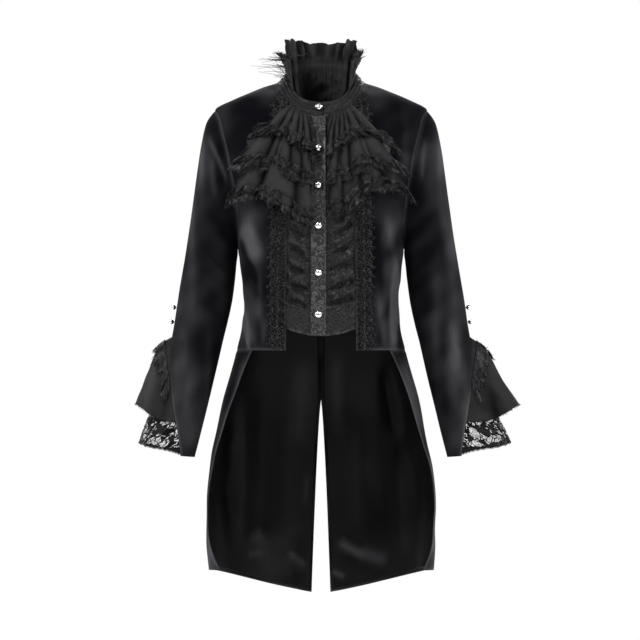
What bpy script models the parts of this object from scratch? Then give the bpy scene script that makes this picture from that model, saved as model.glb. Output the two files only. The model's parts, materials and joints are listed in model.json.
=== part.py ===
"""Stand-collar tailcoat, hollow and filled out as it is worn.

Metres, +Z up, the front faces -Y. The origin is the middle of the neck at the height where the
shoulder seams meet the collar. The torso is a stack of horizontal sections, and each panel is a
patch of it with a wall turned inwards. An angle of 0 is the centre front and 180 the centre back.
"""

import math

import bmesh
import bpy
from mathutils import Vector

# Cloth and seams
VELVET = 0.0018
BROCADE = 0.0016
SATIN = 0.0010
CHIFFON = 0.0011
LACE = 0.0010
SEAM = 0.0003

# Torso sections: height, half width, depth to the front and to the back
SECTIONS = (
    (0.022, 0.0690, 0.034, 0.054),
    (0.006, 0.0780, 0.040, 0.062),
    (-0.0036, 0.1047, 0.047, 0.067),
    (-0.0107, 0.1226, 0.053, 0.072),
    (-0.025, 0.1575, 0.063, 0.080),
    (-0.044, 0.1900, 0.074, 0.088),
    (-0.075, 0.1850, 0.090, 0.097),
    (-0.115, 0.1790, 0.106, 0.102),
    (-0.165, 0.1690, 0.119, 0.104),
    (-0.215, 0.1590, 0.126, 0.101),
    (-0.255, 0.1520, 0.124, 0.097),
    (-0.293, 0.1480, 0.118, 0.093),
    (-0.330, 0.1435, 0.111, 0.089),
    (-0.392, 0.1370, 0.103, 0.086),
    (-0.437, 0.1423, 0.105, 0.091),
    (-0.4726, 0.1510, 0.109, 0.099),
    (-0.526, 0.1647, 0.115, 0.112),
    (-0.598, 0.1826, 0.112, 0.126),
    (-0.669, 0.1960, 0.096, 0.136),
    (-0.741, 0.2035, 0.078, 0.142),
    (-0.813, 0.2045, 0.062, 0.146),
    (-0.870, 0.2000, 0.056, 0.148),
    (-0.920, 0.1980, 0.054, 0.150),
)
SQUARENESS = 2.5
SLOPE_STEP = 0.002

# Neck and shoulders
NECK_HALF = 0.078
NECK_FRONT_Z = -0.057
NECK_POINT_Z = 0.006
NECK_BACK_Z = 0.020
NECK_CURVE = 3.0
SHOULDER_Z = -0.044
UNDERARM_Z = -0.293
SHOULDER_ROWS = 3
ARMHOLE_STEPS = 7
SHARPEST_SEAM = 0.2

# Armhole seam: height, distance from the centre on the front and on the back
ARMHOLE = (
    (-0.044, 0.1900, 0.1900),
    (-0.061, 0.1840, 0.1850),
    (-0.088, 0.1770, 0.1790),
    (-0.120, 0.1690, 0.1720),
    (-0.160, 0.1610, 0.1650),
    (-0.190, 0.1555, 0.1590),
    (-0.230, 0.1505, 0.1530),
    (-0.270, 0.1480, 0.1490),
    (-0.293, 0.1480, 0.1480),
)

# Fronts, waistcoat and placket
FRONT_COLUMNS = 6
FRONT_INNER_X = 0.0590
FRONT_CORNER_X = 0.0630
FRONT_HEM_Z = -0.4726
SIDE_ROWS = (-0.335, -0.380, -0.425)
FRONT_HEM_ANGLES = (30, 41, 51, 64, 77)
BUTTON_X = -0.0045
PLACKET_HALF = 0.0135
VEST_HEM_Z = -0.4475
VEST_HEM_RISE = 0.0130
VEST_COLUMNS = 4
VEST_PLAIN_ROWS = (-0.105, -0.155, -0.205)
VEST_BAND_Z = -0.420
RUCHE_TOP_Z = -0.255
RUCHE_BOTTOM_Z = -0.392
RUCHE_FOLDS = 7
RUCHE_DEPTH = 0.0035
PLACKET_ROWS = 14

# Backs and tails
BACK_COLUMNS = 6
WAIST_SEAM_RISE = 0.045
TAIL_ROWS = 7
TAIL_TIP_Z = -0.914
TAIL_CORNER_Z = -0.866
TAIL_HEM_CURVE = 1.0
VENT_TOP_Z = -0.566
VENT_HALF = 0.0170
VENT_ROUND = 0.7
LINING_INSET = 0.0040
# Front edge of a tail: height and angle
TAIL_EDGE = (
    (-0.4726, 51.0),
    (-0.523, 59.8),
    (-0.566, 65.3),
    (-0.616, 69.0),
    (-0.669, 74.0),
    (-0.705, 79.5),
    (-0.760, 84.0),
    (-0.800, 80.0),
    (-0.835, 71.0),
    (-0.870, 61.0),
)

# Sleeve rings: inner x and z, outer x and z, half depth, y of the middle, angle that is cloth
SLEEVE = (
    (0.1480, -0.2930, 0.1900, -0.0440, 0.050, 0.000, 180),
    (0.1484, -0.2975, 0.2050, -0.0660, 0.053, 0.001, 180),
    (0.1490, -0.3050, 0.2140, -0.1030, 0.056, 0.003, 180),
    (0.1506, -0.3160, 0.2220, -0.1550, 0.057, 0.006, 180),
    (0.1535, -0.3450, 0.2330, -0.2350, 0.056, 0.009, 180),
    (0.1585, -0.3840, 0.2450, -0.3120, 0.053, 0.010, 180),
    (0.1665, -0.4220, 0.2560, -0.3780, 0.050, 0.008, 180),
    (0.1760, -0.4600, 0.2655, -0.4400, 0.047, 0.004, 180),
    (0.1850, -0.5000, 0.2745, -0.4800, 0.046, 0.000, 152),
    (0.1950, -0.5430, 0.2830, -0.5220, 0.045, -0.004, 133),
    (0.2050, -0.5830, 0.2910, -0.5640, 0.044, -0.007, 113),
    (0.2160, -0.6270, 0.2990, -0.6100, 0.043, -0.010, 88),
    (0.2255, -0.6640, 0.3060, -0.6560, 0.042, -0.012, 66),
)
SLIT_RING = 7
ARMHOLE_FADE = (1.0, 0.55, 0.2)

# Collar
BAND_TOP_HALF = 0.0555
BAND_TOP_FRONT_Z = -0.030
BAND_TOP_SIDE_Z = 0.030
BAND_TOP_BACK_Z = 0.044
BAND_TOP_FRONT_Y = -0.070
BAND_TOP_BACK_Y = 0.047
FRILL_START = 50
FRILL_SHARES = (1.0, 0.5, 0.0)
FRILL_STEPS = 32
FRILL_WAVES = 8
FRILL_HALF = 0.0640
FRILL_TOP_Z = 0.0835
FRILL_FRONT_Y = -0.066
FRILL_BACK_Y = 0.058
FRILL_DEPTH = 0.0030
RUFFLE_START = 62
RUFFLE_HALF = 0.0750
RUFFLE_TOP_Z = 0.056
RUFFLE_FRONT_Y = -0.0759
RUFFLE_BACK_Y = 0.0696
RUFFLE_SEAM_OUT = 0.0040
RUFFLE_SEAM_DOWN = 0.0020

# Jabot tiers: distance from the coat, then the lower edge's inner, middle and outer x and z
JABOT = {
    "low_l": (0.0065, 0.022, -0.258, 0.091, -0.228, 0.176, -0.218),
    "low_r": (0.0065, 0.016, -0.236, 0.079, -0.231, 0.166, -0.222),
    "mid_l": (0.0120, 0.022, -0.188, 0.080, -0.174, 0.160, -0.156),
    "mid_r": (0.0120, 0.016, -0.186, 0.070, -0.180, 0.154, -0.190),
    "top_l": (0.0175, 0.022, -0.130, 0.062, -0.122, 0.118, -0.126),
    "top_r": (0.0175, 0.016, -0.132, 0.058, -0.127, 0.138, -0.146),
}
JABOT_LAYERS = ("low", "mid", "top")
JABOT_SEAM = 0.0038
JABOT_STEP = 0.0018
JABOT_OUTER_X = 0.052
JABOT_SHARES = (0.0, 0.35, 0.7, 1.0)
JABOT_TUCK = 0.0012
JABOT_STEPS = 12
JABOT_WAVES = 3
JABOT_DEPTH = 0.0017
WING_START = 0.93

# Braid beside the waistcoat
BRAID_MARGIN = 0.0012
BRAID_OUTER_X = 0.0950
BRAID_LIFT = 0.0006
BRAID_TRIM = 0.002

# Cuffs: the middle profile of each flounce, as height and reach from the centre
FLOUNCE_L = ((-0.440, 0.2600), (-0.453, 0.2790), (-0.4726, 0.2918), (-0.508, 0.3060), (-0.569, 0.3290))
FLOUNCE_R = ((-0.440, 0.2600), (-0.456, 0.2825), (-0.4815, 0.3007), (-0.520, 0.3200), (-0.571, 0.3530))
FLOUNCE_END_RING = 11
FLOUNCE_HALF_DEPTH = 0.030
FLOUNCE_SWAG = 0.010
FLOUNCE_SPREAD = 0.5
FLOUNCE_SHARES = (0.0, 0.3, 0.65, 1.0)
FLOUNCE_ROUND = 1.5
SEAM_SHARE = 0.85
SLIT_START = 0.2
CUFF_RUFFLE_INSET = 3
CUFF_RUFFLE_SHARES = (0.25, 1.0)
FLOUNCE_STEPS = 20
FLOUNCE_WAVES = 5
FLOUNCE_DEPTH = 0.0030
CUFF_LACE_REACH = {-1: 0.323, 1: 0.335}
CUFF_LACE_SHARES = (0.0, 0.33, 0.67, 1.0)
CUFF_LACE_TOP_Z = -0.550
CUFF_LACE_SIDE_Z = -0.637
CUFF_LACE_END_Z = -0.661
CUFF_LACE_TURN = 125
CUFF_LACE_TUCK = 14
CUFF_LACE_EASE = 50
CUFF_LACE_INSIDE = VELVET + 0.0022
CUFF_LACE_FLARE = 0.15
CUFF_LACE_ROUND = 0.8

# Buttons: profiles as radius and height over the cloth
BUTTON_HEIGHTS = (-0.0412, -0.1146, -0.1800, -0.2506, -0.3338, -0.4090)
CUFF_BUTTON_HEIGHTS = (-0.397, -0.423)
CUFF_BUTTON_TILT = 0.15
DOME = ((0.0026, 0.0), (0.0026, 0.0014), (0.0068, 0.0022), (0.0073, 0.0034), (0.0062, 0.0062),
        (0.0035, 0.0081), (0.0, 0.0088))
BALL = ((0.0018, 0.0), (0.0020, 0.0012), (0.0046, 0.0028), (0.0055, 0.0058), (0.0045, 0.0090),
        (0.0024, 0.0109), (0.0, 0.0114))
BUTTON_SIDES = 12

# Finishes: colour, roughness, metallic
FINISHES = {
    "velvet": ((0.012, 0.012, 0.015), 0.90, 0.0),
    "satin": ((0.012, 0.012, 0.013), 0.35, 0.0),
    "chiffon": ((0.020, 0.020, 0.021), 0.85, 0.0),
    "lace": ((0.010, 0.010, 0.010), 0.80, 0.0),
    "brocade": ((0.022, 0.022, 0.024), 0.45, 0.0),
    "silver": ((0.75, 0.74, 0.72), 0.18, 1.0),
}


def read(table, z, column):
    """Smoothly read one column of a table whose first column is a falling height."""
    heights = [row[0] for row in table]
    if z >= heights[0]:
        return table[0][column]
    if z <= heights[-1]:
        return table[-1][column]
    low = next(i for i in range(len(table) - 1) if heights[i + 1] <= z)
    slopes = [
        (table[i + 1][column] - table[i][column]) / (heights[i + 1] - heights[i])
        for i in range(len(table) - 1)
    ]

    def tangent(i):
        if i == 0 or i == len(table) - 1:
            return slopes[0] if i == 0 else slopes[-1]
        before, after = slopes[i - 1], slopes[i]
        return 2 * before * after / (before + after) if before * after > 0 else 0.0

    step = heights[low + 1] - heights[low]
    t = (z - heights[low]) / step
    start, end = table[low][column], table[low + 1][column]
    return (
        start * (1 + 2 * t) * (1 - t) ** 2
        + end * t * t * (3 - 2 * t)
        + tangent(low) * step * t * (1 - t) ** 2
        - tangent(low + 1) * step * t * t * (1 - t)
    )


def slope(z, column):
    """How fast a column of the torso's sections grows with the height."""
    above, below = read(SECTIONS, z + SLOPE_STEP, column), read(SECTIONS, z - SLOPE_STEP, column)
    return (above - below) / (2 * SLOPE_STEP)


def torso(angle, z, side=1):
    """Point and inward direction of the torso at an angle and a height."""
    half = read(SECTIONS, z, 1)
    column = 2 if abs(angle) <= 90 else 3
    depth = read(SECTIONS, z, column)
    sine, cosine = math.sin(math.radians(angle)), math.cos(math.radians(angle))
    x = math.copysign(half * abs(sine) ** (2 / SQUARENESS), sine)
    y = -math.copysign(depth * abs(cosine) ** (2 / SQUARENESS), cosine)
    half_slope = slope(z, 1)
    depth_slope = slope(z, column)
    wide, deep = abs(x / half), abs(y / depth)
    out = Vector((
        math.copysign(wide ** (SQUARENESS - 1) / half, x),
        math.copysign(deep ** (SQUARENESS - 1) / depth, y),
        -(wide ** SQUARENESS) * half_slope / half - deep ** SQUARENESS * depth_slope / depth,
    ))
    inward = -out.normalized()
    return Vector((side * x, y, z)), Vector((side * inward.x, inward.y, inward.z))


def angle_at(x, z, back=False):
    """Angle where the torso at height z is x from the centre."""
    share = min(1.0, abs(x) / read(SECTIONS, z, 1)) ** (SQUARENESS / 2)
    angle = math.degrees(math.asin(share))
    return 180 - angle if back else math.copysign(angle, x)


def neckline(x):
    """Height of the front neckline at a distance from the centre."""
    return NECK_FRONT_Z + (NECK_POINT_Z - NECK_FRONT_Z) * (abs(x) / NECK_HALF) ** NECK_CURVE


def spread(start, end, steps):
    """Evenly spaced numbers, both ends included."""
    return [start + (end - start) * i / steps for i in range(steps + 1)]


def armhole_heights():
    """Heights of the armhole's points, from the shoulder down to the underarm."""
    middle, reach = (SHOULDER_Z + UNDERARM_Z) / 2, (SHOULDER_Z - UNDERARM_Z) / 2
    return [middle + reach * math.cos(math.pi * i / ARMHOLE_STEPS) for i in range(ARMHOLE_STEPS + 1)]


def outer_edge(back):
    """Shoulder seam, armhole and side seam of a front or back, as angles and heights."""
    edge = [(90.0, z) for z in spread(NECK_POINT_Z, SHOULDER_Z, SHOULDER_ROWS)[:-1]]
    edge += [(angle_at(read(ARMHOLE, z, 2 if back else 1), z, back), z) for z in armhole_heights()]
    return edge + [(90.0, z) for z in SIDE_ROWS] + [(90.0, FRONT_HEM_Z)]


def matched(z, top, bottom):
    """Height on an inner edge that goes with height z on the outer edge."""
    share = (NECK_POINT_Z - z) / (NECK_POINT_Z - FRONT_HEM_Z)
    return top + (bottom - top) * share


def patch(left, right, top, bottom):
    """Angles and heights of a panel from its four edges."""
    rows, columns = len(left) - 1, len(top) - 1
    grid = []
    for j in range(rows + 1):
        v = j / rows
        line = []
        for i in range(columns + 1):
            u = i / columns
            line.append(tuple(
                (1 - v) * top[i][k] + v * bottom[i][k] + (1 - u) * left[j][k] + u * right[j][k]
                - (1 - u) * (1 - v) * left[0][k] - u * (1 - v) * right[0][k]
                - (1 - u) * v * left[-1][k] - u * v * right[-1][k]
                for k in (0, 1)
            ))
        grid.append(line)
    return grid


def on_torso(grid, side, lift=0.0):
    """Turn angles and heights into points and inward directions, moved out by lift."""
    placed = []
    for line in grid:
        row = []
        for angle, z in line:
            point, inward = torso(angle, z, side)
            row.append((point - inward * lift, inward))
        placed.append(row)
    return placed


def with_inward(points, centre):
    """Give a grid of points directions square to it, towards the centre line."""
    rows, columns = len(points) - 1, len(points[0]) - 1
    placed = []
    for j, line in enumerate(points):
        row = []
        for i, point in enumerate(line):
            across = points[j][min(i + 1, columns)] - points[j][max(i - 1, 0)]
            down = points[min(j + 1, rows)][i] - points[max(j - 1, 0)][i]
            inward = across.cross(down).normalized()
            if inward.dot(centre(point) - point) < 0:
                inward = -inward
            row.append((point, inward))
        placed.append(row)
    return placed


def trimmed(grid, left=0.0, right=0.0, top=0.0, bottom=0.0):
    """Draw a grid's edges back by the given distances."""
    grid = [list(line) for line in grid]

    def draw(edge, inner, distance):
        return edge[0] + (inner[0] - edge[0]).normalized() * distance, edge[1]

    for line in grid:
        line[0] = draw(line[0], line[1], left)
        line[-1] = draw(line[-1], line[-2], right)
    for i in range(len(grid[0])):
        grid[0][i] = draw(grid[0][i], grid[1][i], top)
        grid[-1][i] = draw(grid[-1][i], grid[-2][i], bottom)
    return grid


def add_object(name, mesh, finish):
    """Finish a bmesh as an object with its own material."""
    bmesh.ops.recalc_face_normals(mesh, faces=mesh.faces)
    data = bpy.data.meshes.new(name)
    mesh.to_mesh(data)
    mesh.free()
    data.shade_smooth()
    data.set_sharp_from_angle(angle=math.radians(50))
    colour, roughness, metallic = FINISHES[finish]
    material = bpy.data.materials.new(f"{name}_{finish}")
    material.use_nodes = True
    shader = material.node_tree.nodes["Principled BSDF"]
    shader.inputs["Base Color"].default_value = (*colour, 1.0)
    shader.inputs["Roughness"].default_value = roughness
    shader.inputs["Metallic"].default_value = metallic
    data.materials.append(material)
    bpy.context.collection.objects.link(bpy.data.objects.new(name, data))


def cloth(name, grid, thickness, finish):
    """A cloth wall from a grid of points and inward directions."""
    rows, columns = len(grid) - 1, len(grid[0]) - 1
    mesh = bmesh.new()
    bmesh.ops.create_grid(mesh, x_segments=columns, y_segments=rows, size=0.5)
    outer = list(mesh.verts)
    rim = [edge for edge in mesh.edges if edge.is_boundary]
    copy = bmesh.ops.duplicate(mesh, geom=mesh.verts[:] + mesh.edges[:] + mesh.faces[:])
    twin = copy["vert_map"]
    for vert in outer:
        i = round((vert.co.x + 0.5) * columns)
        j = round((0.5 - vert.co.y) * rows)
        point, inward = grid[j][i]
        vert.co = point
        twin[vert].co = point + inward * thickness
    for edge in rim:
        one, two = edge.verts
        mesh.faces.new((one, two, twin[two], twin[one]))
    add_object(name, mesh, finish)


def seam_direction(body, sleeve):
    """Shared inward direction where a seam bends outwards, else each keeps its own."""
    if body.dot(sleeve) > SHARPEST_SEAM:
        shared = (body + sleeve).normalized()
        return shared, shared
    return body, sleeve


def front_grid(side):
    """Points of a velvet front, from the neckline and shoulder to the square hem."""
    right = outer_edge(back=False)
    left = []
    for _, z in right:
        height = matched(z, neckline(FRONT_INNER_X), FRONT_HEM_Z)
        share = (height - neckline(FRONT_INNER_X)) / (FRONT_HEM_Z - neckline(FRONT_INNER_X))
        x = FRONT_INNER_X + (FRONT_CORNER_X - FRONT_INNER_X) * share
        left.append((angle_at(x, height), height))
    top = [(angle_at(x, neckline(x)), neckline(x)) for x in spread(FRONT_INNER_X, NECK_HALF, FRONT_COLUMNS)]
    bottom = [left[-1]] + [(angle, FRONT_HEM_Z) for angle in FRONT_HEM_ANGLES] + [right[-1]]
    return on_torso(patch(left, right, top, bottom), side)


def make_front(side, name):
    """Velvet front."""
    grid = front_grid(side)
    sew_armhole(grid, side, front=True)
    cloth(name, trimmed(grid, SEAM / 2, SEAM / 2, SEAM / 2, SEAM / 2), VELVET, "velvet")


def back_grid():
    """Angles and heights of a back panel."""
    right = outer_edge(back=True)
    waist_z = FRONT_HEM_Z + WAIST_SEAM_RISE
    left = [(180.0, matched(z, NECK_BACK_Z, waist_z)) for _, z in right]
    top = list(zip(spread(180, 90, BACK_COLUMNS), spread(NECK_BACK_Z, NECK_POINT_Z, BACK_COLUMNS)))
    bottom = [(angle, waist_height(angle)) for angle in spread(180, 90, BACK_COLUMNS)]
    return patch(left, right, top, bottom)


def waist_height(angle):
    """Height of the waist seam, level on the front and rising to the centre back."""
    if angle <= 90:
        return FRONT_HEM_Z
    return FRONT_HEM_Z + WAIST_SEAM_RISE * math.sin(math.radians(angle - 90))


def make_back(side, name):
    """Velvet back, from the neck and shoulder to the waist seam."""
    grid = on_torso(back_grid(), side)
    sew_armhole(grid, side, front=False)
    cloth(name, trimmed(grid, SEAM / 2, SEAM / 2, SEAM / 2, SEAM / 2), VELVET, "velvet")


def sew_armhole(grid, side, front):
    """Turn the wall's edge at the armhole to meet the sleeve's."""
    rings = sleeve_halves(side)[0 if front else 1]
    for i in range(ARMHOLE_STEPS + 1):
        point, inward = grid[SHOULDER_ROWS + i][-1]
        sleeve = rings[0][ARMHOLE_STEPS - i][1]
        grid[SHOULDER_ROWS + i][-1] = (point, seam_direction(inward, sleeve)[0])


def sleeve_point(ring, angle, side, front):
    """Point of a sleeve ring: 0 degrees is its inner side, 180 its outer side."""
    inner_x, inner_z, outer_x, outer_z, depth, middle_y, _ = SLEEVE[ring]
    cosine, sine = math.cos(math.radians(angle)), math.sin(math.radians(angle))
    x = (inner_x + outer_x) / 2 - (outer_x - inner_x) / 2 * cosine
    z = (inner_z + outer_z) / 2 - (outer_z - inner_z) / 2 * cosine
    y = middle_y + (-depth if front else depth) * sine
    return Vector((side * x, y, z))


def sleeve_middle(ring, side):
    """Middle of a sleeve ring."""
    inner_x, inner_z, outer_x, outer_z, _, middle_y, _ = SLEEVE[ring]
    return Vector((side * (inner_x + outer_x) / 2, middle_y, (inner_z + outer_z) / 2))


def sleeve_grid(side, front):
    """Half a sleeve: a row for each ring, its columns from the inner to the outer seam."""
    heights = armhole_heights()[::-1]
    column = 1 if front else 2
    points = []
    for ring in range(len(SLEEVE)):
        cut = SLEEVE[ring][6]
        line = []
        for i, z in enumerate(heights):
            angle = cut * i / ARMHOLE_STEPS
            point = sleeve_point(ring, angle, side, front)
            if ring < len(ARMHOLE_FADE):
                sewn = torso(angle_at(read(ARMHOLE, z, column), z, not front), z, side)[0]
                flat = sleeve_point(0, 180 * i / ARMHOLE_STEPS, side, front)
                point += (sewn - flat) * ARMHOLE_FADE[ring]
            line.append(point)
        points.append(line)
    placed = []
    for ring, line in enumerate(points):
        placed.append(with_inward(points, lambda point, r=ring: sleeve_middle(r, side))[ring])
    return placed


def sleeve_halves(side):
    """Front and back half of a sleeve, with the same wall direction where they are sewn."""
    halves = sleeve_grid(side, True), sleeve_grid(side, False)
    for ring in range(len(SLEEVE)):
        seams = (0, -1) if ring <= SLIT_RING else (0,)
        for column in seams:
            shared = (halves[0][ring][column][1] + halves[1][ring][column][1]).normalized()
            for half in halves:
                half[ring][column] = (half[ring][column][0], shared)
    return halves


def make_sleeve(side, front, name):
    """Front or back half of a sleeve, cut away along the slit."""
    grid = sleeve_halves(side)[0 if front else 1]
    heights = armhole_heights()[::-1]
    column = 1 if front else 2
    for i, z in enumerate(heights):
        body = torso(angle_at(read(ARMHOLE, z, column), z, not front), z, side)[1]
        point, inward = grid[0][i]
        grid[0][i] = (point, seam_direction(body, inward)[1])
    cloth(name, trimmed(grid, SEAM / 2, SEAM / 2, SEAM / 2), VELVET, "velvet")


def tail_grid():
    """Angles and heights of a tail, from the centre back to its front edge."""
    sewn = [(angle, waist_height(angle)) for angle in spread(180, 90, BACK_COLUMNS)]
    sewn += [(angle, FRONT_HEM_Z) for angle in reversed(FRONT_HEM_ANGLES[2:])]
    columns = len(sewn) - 1
    grid = []
    for j in range(TAIL_ROWS + 1):
        v = j / TAIL_ROWS
        centre_z = sewn[0][1] + (TAIL_TIP_Z - sewn[0][1]) * v
        edge_z = FRONT_HEM_Z + (TAIL_CORNER_Z - FRONT_HEM_Z) * v
        vent = max(0.0, (VENT_TOP_Z - centre_z) / (VENT_TOP_Z - TAIL_TIP_Z))
        start = angle_at(VENT_HALF * vent ** VENT_ROUND, centre_z, back=True)
        end = read(TAIL_EDGE, edge_z, 1)
        line = []
        for i in range(columns + 1):
            u = (180 - sewn[i][0]) / (180 - sewn[-1][0])
            angle = start + (end - start) * u
            wide = math.sin(math.radians(max(90.0, angle))) ** TAIL_HEM_CURVE
            low = TAIL_TIP_Z + (TAIL_CORNER_Z - TAIL_TIP_Z) * wide
            line.append((angle, sewn[i][1] + (low - sewn[i][1]) * v))
        grid.append(line)
    return grid


def make_tail(side, name):
    """Velvet tail and, inside it, its satin lining."""
    grid = on_torso(tail_grid(), side)
    cloth(name, trimmed(grid, SEAM / 2, top=SEAM / 2), VELVET, "velvet")
    lining = on_torso(tail_grid(), side, lift=-VELVET - 3 * SEAM)
    inset = LINING_INSET
    cloth(name.replace("tail", "tail_lining"), trimmed(lining, inset, inset, SEAM, inset), SATIN, "satin")


def ruched(z, x):
    """How far the waistcoat's folds sink in at a height."""
    if not RUCHE_BOTTOM_Z < z < RUCHE_TOP_Z or abs(x - BUTTON_X) < PLACKET_HALF + SEAM:
        return 0.0
    share = (RUCHE_TOP_Z - z) / (RUCHE_TOP_Z - RUCHE_BOTTOM_Z)
    return RUCHE_DEPTH * (0.5 - 0.5 * math.cos(2 * math.pi * RUCHE_FOLDS * share))


def vest_hem(x):
    """Height of the waistcoat's curved hem."""
    return VEST_HEM_Z + VEST_HEM_RISE * (x / FRONT_INNER_X) ** 2


def vest_heights():
    """Shares of the height of the waistcoat's rows, closer where it is ruched."""
    folds = spread(RUCHE_TOP_Z, RUCHE_BOTTOM_Z, 2 * RUCHE_FOLDS)
    heights = [NECK_FRONT_Z, *VEST_PLAIN_ROWS, *folds, VEST_BAND_Z, VEST_HEM_Z]
    return [(NECK_FRONT_Z - z) / (NECK_FRONT_Z - VEST_HEM_Z) for z in heights]


def make_vest(side, name):
    """Brocade waistcoat front, from the middle of the placket to the velvet."""
    placket_edge = side * BUTTON_X + PLACKET_HALF
    inner = [side * BUTTON_X, placket_edge]
    xs = inner + spread(placket_edge, FRONT_INNER_X, VEST_COLUMNS - 1)[1:]
    grid = []
    for share in vest_heights():
        line = []
        for x in xs:
            z = neckline(x) + (vest_hem(x) - neckline(x)) * share
            z_front = (neckline(FRONT_INNER_X) - z) / (neckline(FRONT_INNER_X) - FRONT_HEM_Z)
            seam_shift = (FRONT_CORNER_X - FRONT_INNER_X) * max(0.0, z_front)
            wide = x + seam_shift * max(0.0, x - placket_edge) / (FRONT_INNER_X - placket_edge)
            point, inward = torso(angle_at(wide, z), z, side)
            sunk = ruched(NECK_FRONT_Z + (VEST_HEM_Z - NECK_FRONT_Z) * share, side * x)
            line.append((point + inward * sunk, inward))
        grid.append(line)
    cloth(name, trimmed(grid, SEAM / 2, SEAM, SEAM / 2), BROCADE, "brocade")


def make_placket():
    """Brocade strip that carries the buttons, laid over both waistcoat fronts."""
    grid = []
    for share in spread(0, 1, PLACKET_ROWS):
        line = []
        for x in (BUTTON_X - PLACKET_HALF, BUTTON_X, BUTTON_X + PLACKET_HALF):
            z = neckline(x) + (vest_hem(x) - neckline(x)) * share
            point, inward = torso(angle_at(x, z), z)
            line.append((point - inward * (BROCADE + 2 * SEAM), inward))
        grid.append(line)
    cloth("placket", trimmed(grid, top=SEAM), BROCADE, "brocade")


def neck_ring():
    """Points of the neckline from the band's end round the back and to the front again."""
    vest_xs = {}
    for side in (-1, 1):
        edge = side * BUTTON_X + PLACKET_HALF
        vest_xs[side] = spread(edge, FRONT_INNER_X, VEST_COLUMNS - 1)
    front_xs = spread(FRONT_INNER_X, NECK_HALF, FRONT_COLUMNS)
    back = list(zip(spread(180, 90, BACK_COLUMNS), spread(NECK_BACK_Z, NECK_POINT_Z, BACK_COLUMNS)))
    ring = []
    for side in (1, -1):
        half = [(x, torso(angle_at(x, neckline(x)), neckline(x), side)[0]) for x in vest_xs[side]]
        half += [(x, torso(angle_at(x, neckline(x)), neckline(x), side)[0]) for x in front_xs[1:]]
        half = [(ring_angle(x), point) for x, point in half]
        for angle, z in back[-2::-1]:
            point = torso(angle, z, side)[0]
            half.append((180 - ring_angle(abs(point.x)), point))
        ring.append([(side * angle, point) for angle, point in half])
    right, left = ring
    middle = BUTTON_X
    centre = (ring_angle(middle), torso(angle_at(middle, neckline(middle)), neckline(middle))[0])
    return right + left[-2::-1] + [centre, right[0]]


def ring_angle(x):
    """Angle on the neck's own ring at a distance from the centre."""
    share = min(1.0, abs(x) / NECK_HALF) ** (SQUARENESS / 2)
    return math.copysign(math.degrees(math.asin(share)), x)


def band_top(angle):
    """Upper edge of the neckband."""
    around = abs(angle)
    sine, cosine = math.sin(math.radians(around)), math.cos(math.radians(around))
    x = BAND_TOP_HALF * abs(sine) ** (2 / SQUARENESS)
    depth = BAND_TOP_FRONT_Y if cosine > 0 else BAND_TOP_BACK_Y
    y = depth * abs(cosine) ** (2 / SQUARENESS)
    if around <= 90:
        z = BAND_TOP_FRONT_Z + (BAND_TOP_SIDE_Z - BAND_TOP_FRONT_Z) * (around / 90) ** 2
    else:
        rise = math.sin(math.radians(around - 90))
        z = BAND_TOP_SIDE_Z + (BAND_TOP_BACK_Z - BAND_TOP_SIDE_Z) * rise
    return Vector((math.copysign(x, angle), y, z))


def neck_axis(point):
    """Point of the neck's upright axis at a point's height."""
    return Vector((0.0, 0.0, point.z))


def make_neckband():
    """Brocade neckband that leans in from the neckline."""
    lower = [point + Vector((0, 0, SEAM)) for _, point in neck_ring()]
    upper = [band_top(angle) for angle, _ in neck_ring()]
    upper[-1] = upper[0]
    middle = [(one + two) / 2 for one, two in zip(lower, upper)]
    grid = with_inward([upper, middle, lower], neck_axis)
    cloth("neckband", trimmed(grid, SEAM / 2, SEAM / 2), BROCADE, "brocade")


def frill_angles(start):
    """Angles from one front end of a frill round the back to the other."""
    return spread(start, 360 - start, FRILL_STEPS)


def make_frill():
    """Standing gathered frill on the neckband."""
    rows = []
    for share in FRILL_SHARES:
        line = []
        for i, around in enumerate(frill_angles(FRILL_START)):
            angle = around if around <= 180 else around - 360
            base = band_top(angle) + Vector((0, 0, 2 * SEAM))
            top = collar_edge(angle, FRILL_HALF, FRILL_FRONT_Y, FRILL_BACK_Y, FRILL_TOP_Z)
            wave = FRILL_DEPTH * share * math.sin(2 * math.pi * FRILL_WAVES * i / FRILL_STEPS)
            line.append(outwards(base + (top - base) * share, wave))
        rows.append(line)
    cloth("collar_frill", with_inward(rows, neck_axis), CHIFFON, "chiffon")


def collar_edge(angle, half, front_y, back_y, z):
    """Upper edge of a frill."""
    around = math.radians(abs(angle))
    sine, cosine = math.sin(around), math.cos(around)
    x = half * abs(sine) ** (2 / SQUARENESS)
    y = (front_y if cosine > 0 else back_y) * abs(cosine) ** (2 / SQUARENESS)
    return Vector((math.copysign(x, angle), y, z))


def outwards(point, distance):
    """Move a collar point away from the neck's axis."""
    flat = Vector((point.x, point.y, 0)).normalized()
    return point + flat * distance


def make_ruffle():
    """Outer ruffle, sewn to the outside of the neckband under its top edge."""
    rows = []
    for share in (1.0, 0.0):
        line = []
        for i, around in enumerate(frill_angles(RUFFLE_START)):
            angle = around if around <= 180 else around - 360
            base = outwards(band_top(angle), RUFFLE_SEAM_OUT) - Vector((0, 0, RUFFLE_SEAM_DOWN))
            top = collar_edge(angle, RUFFLE_HALF, RUFFLE_FRONT_Y, RUFFLE_BACK_Y, RUFFLE_TOP_Z)
            wave = FRILL_DEPTH * share * math.sin(2 * math.pi * FRILL_WAVES * i / FRILL_STEPS)
            line.append(outwards(base + (top - base) * share, wave))
        rows.append(line)
    cloth("collar_ruffle", with_inward(rows, neck_axis), CHIFFON, "chiffon")


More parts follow.
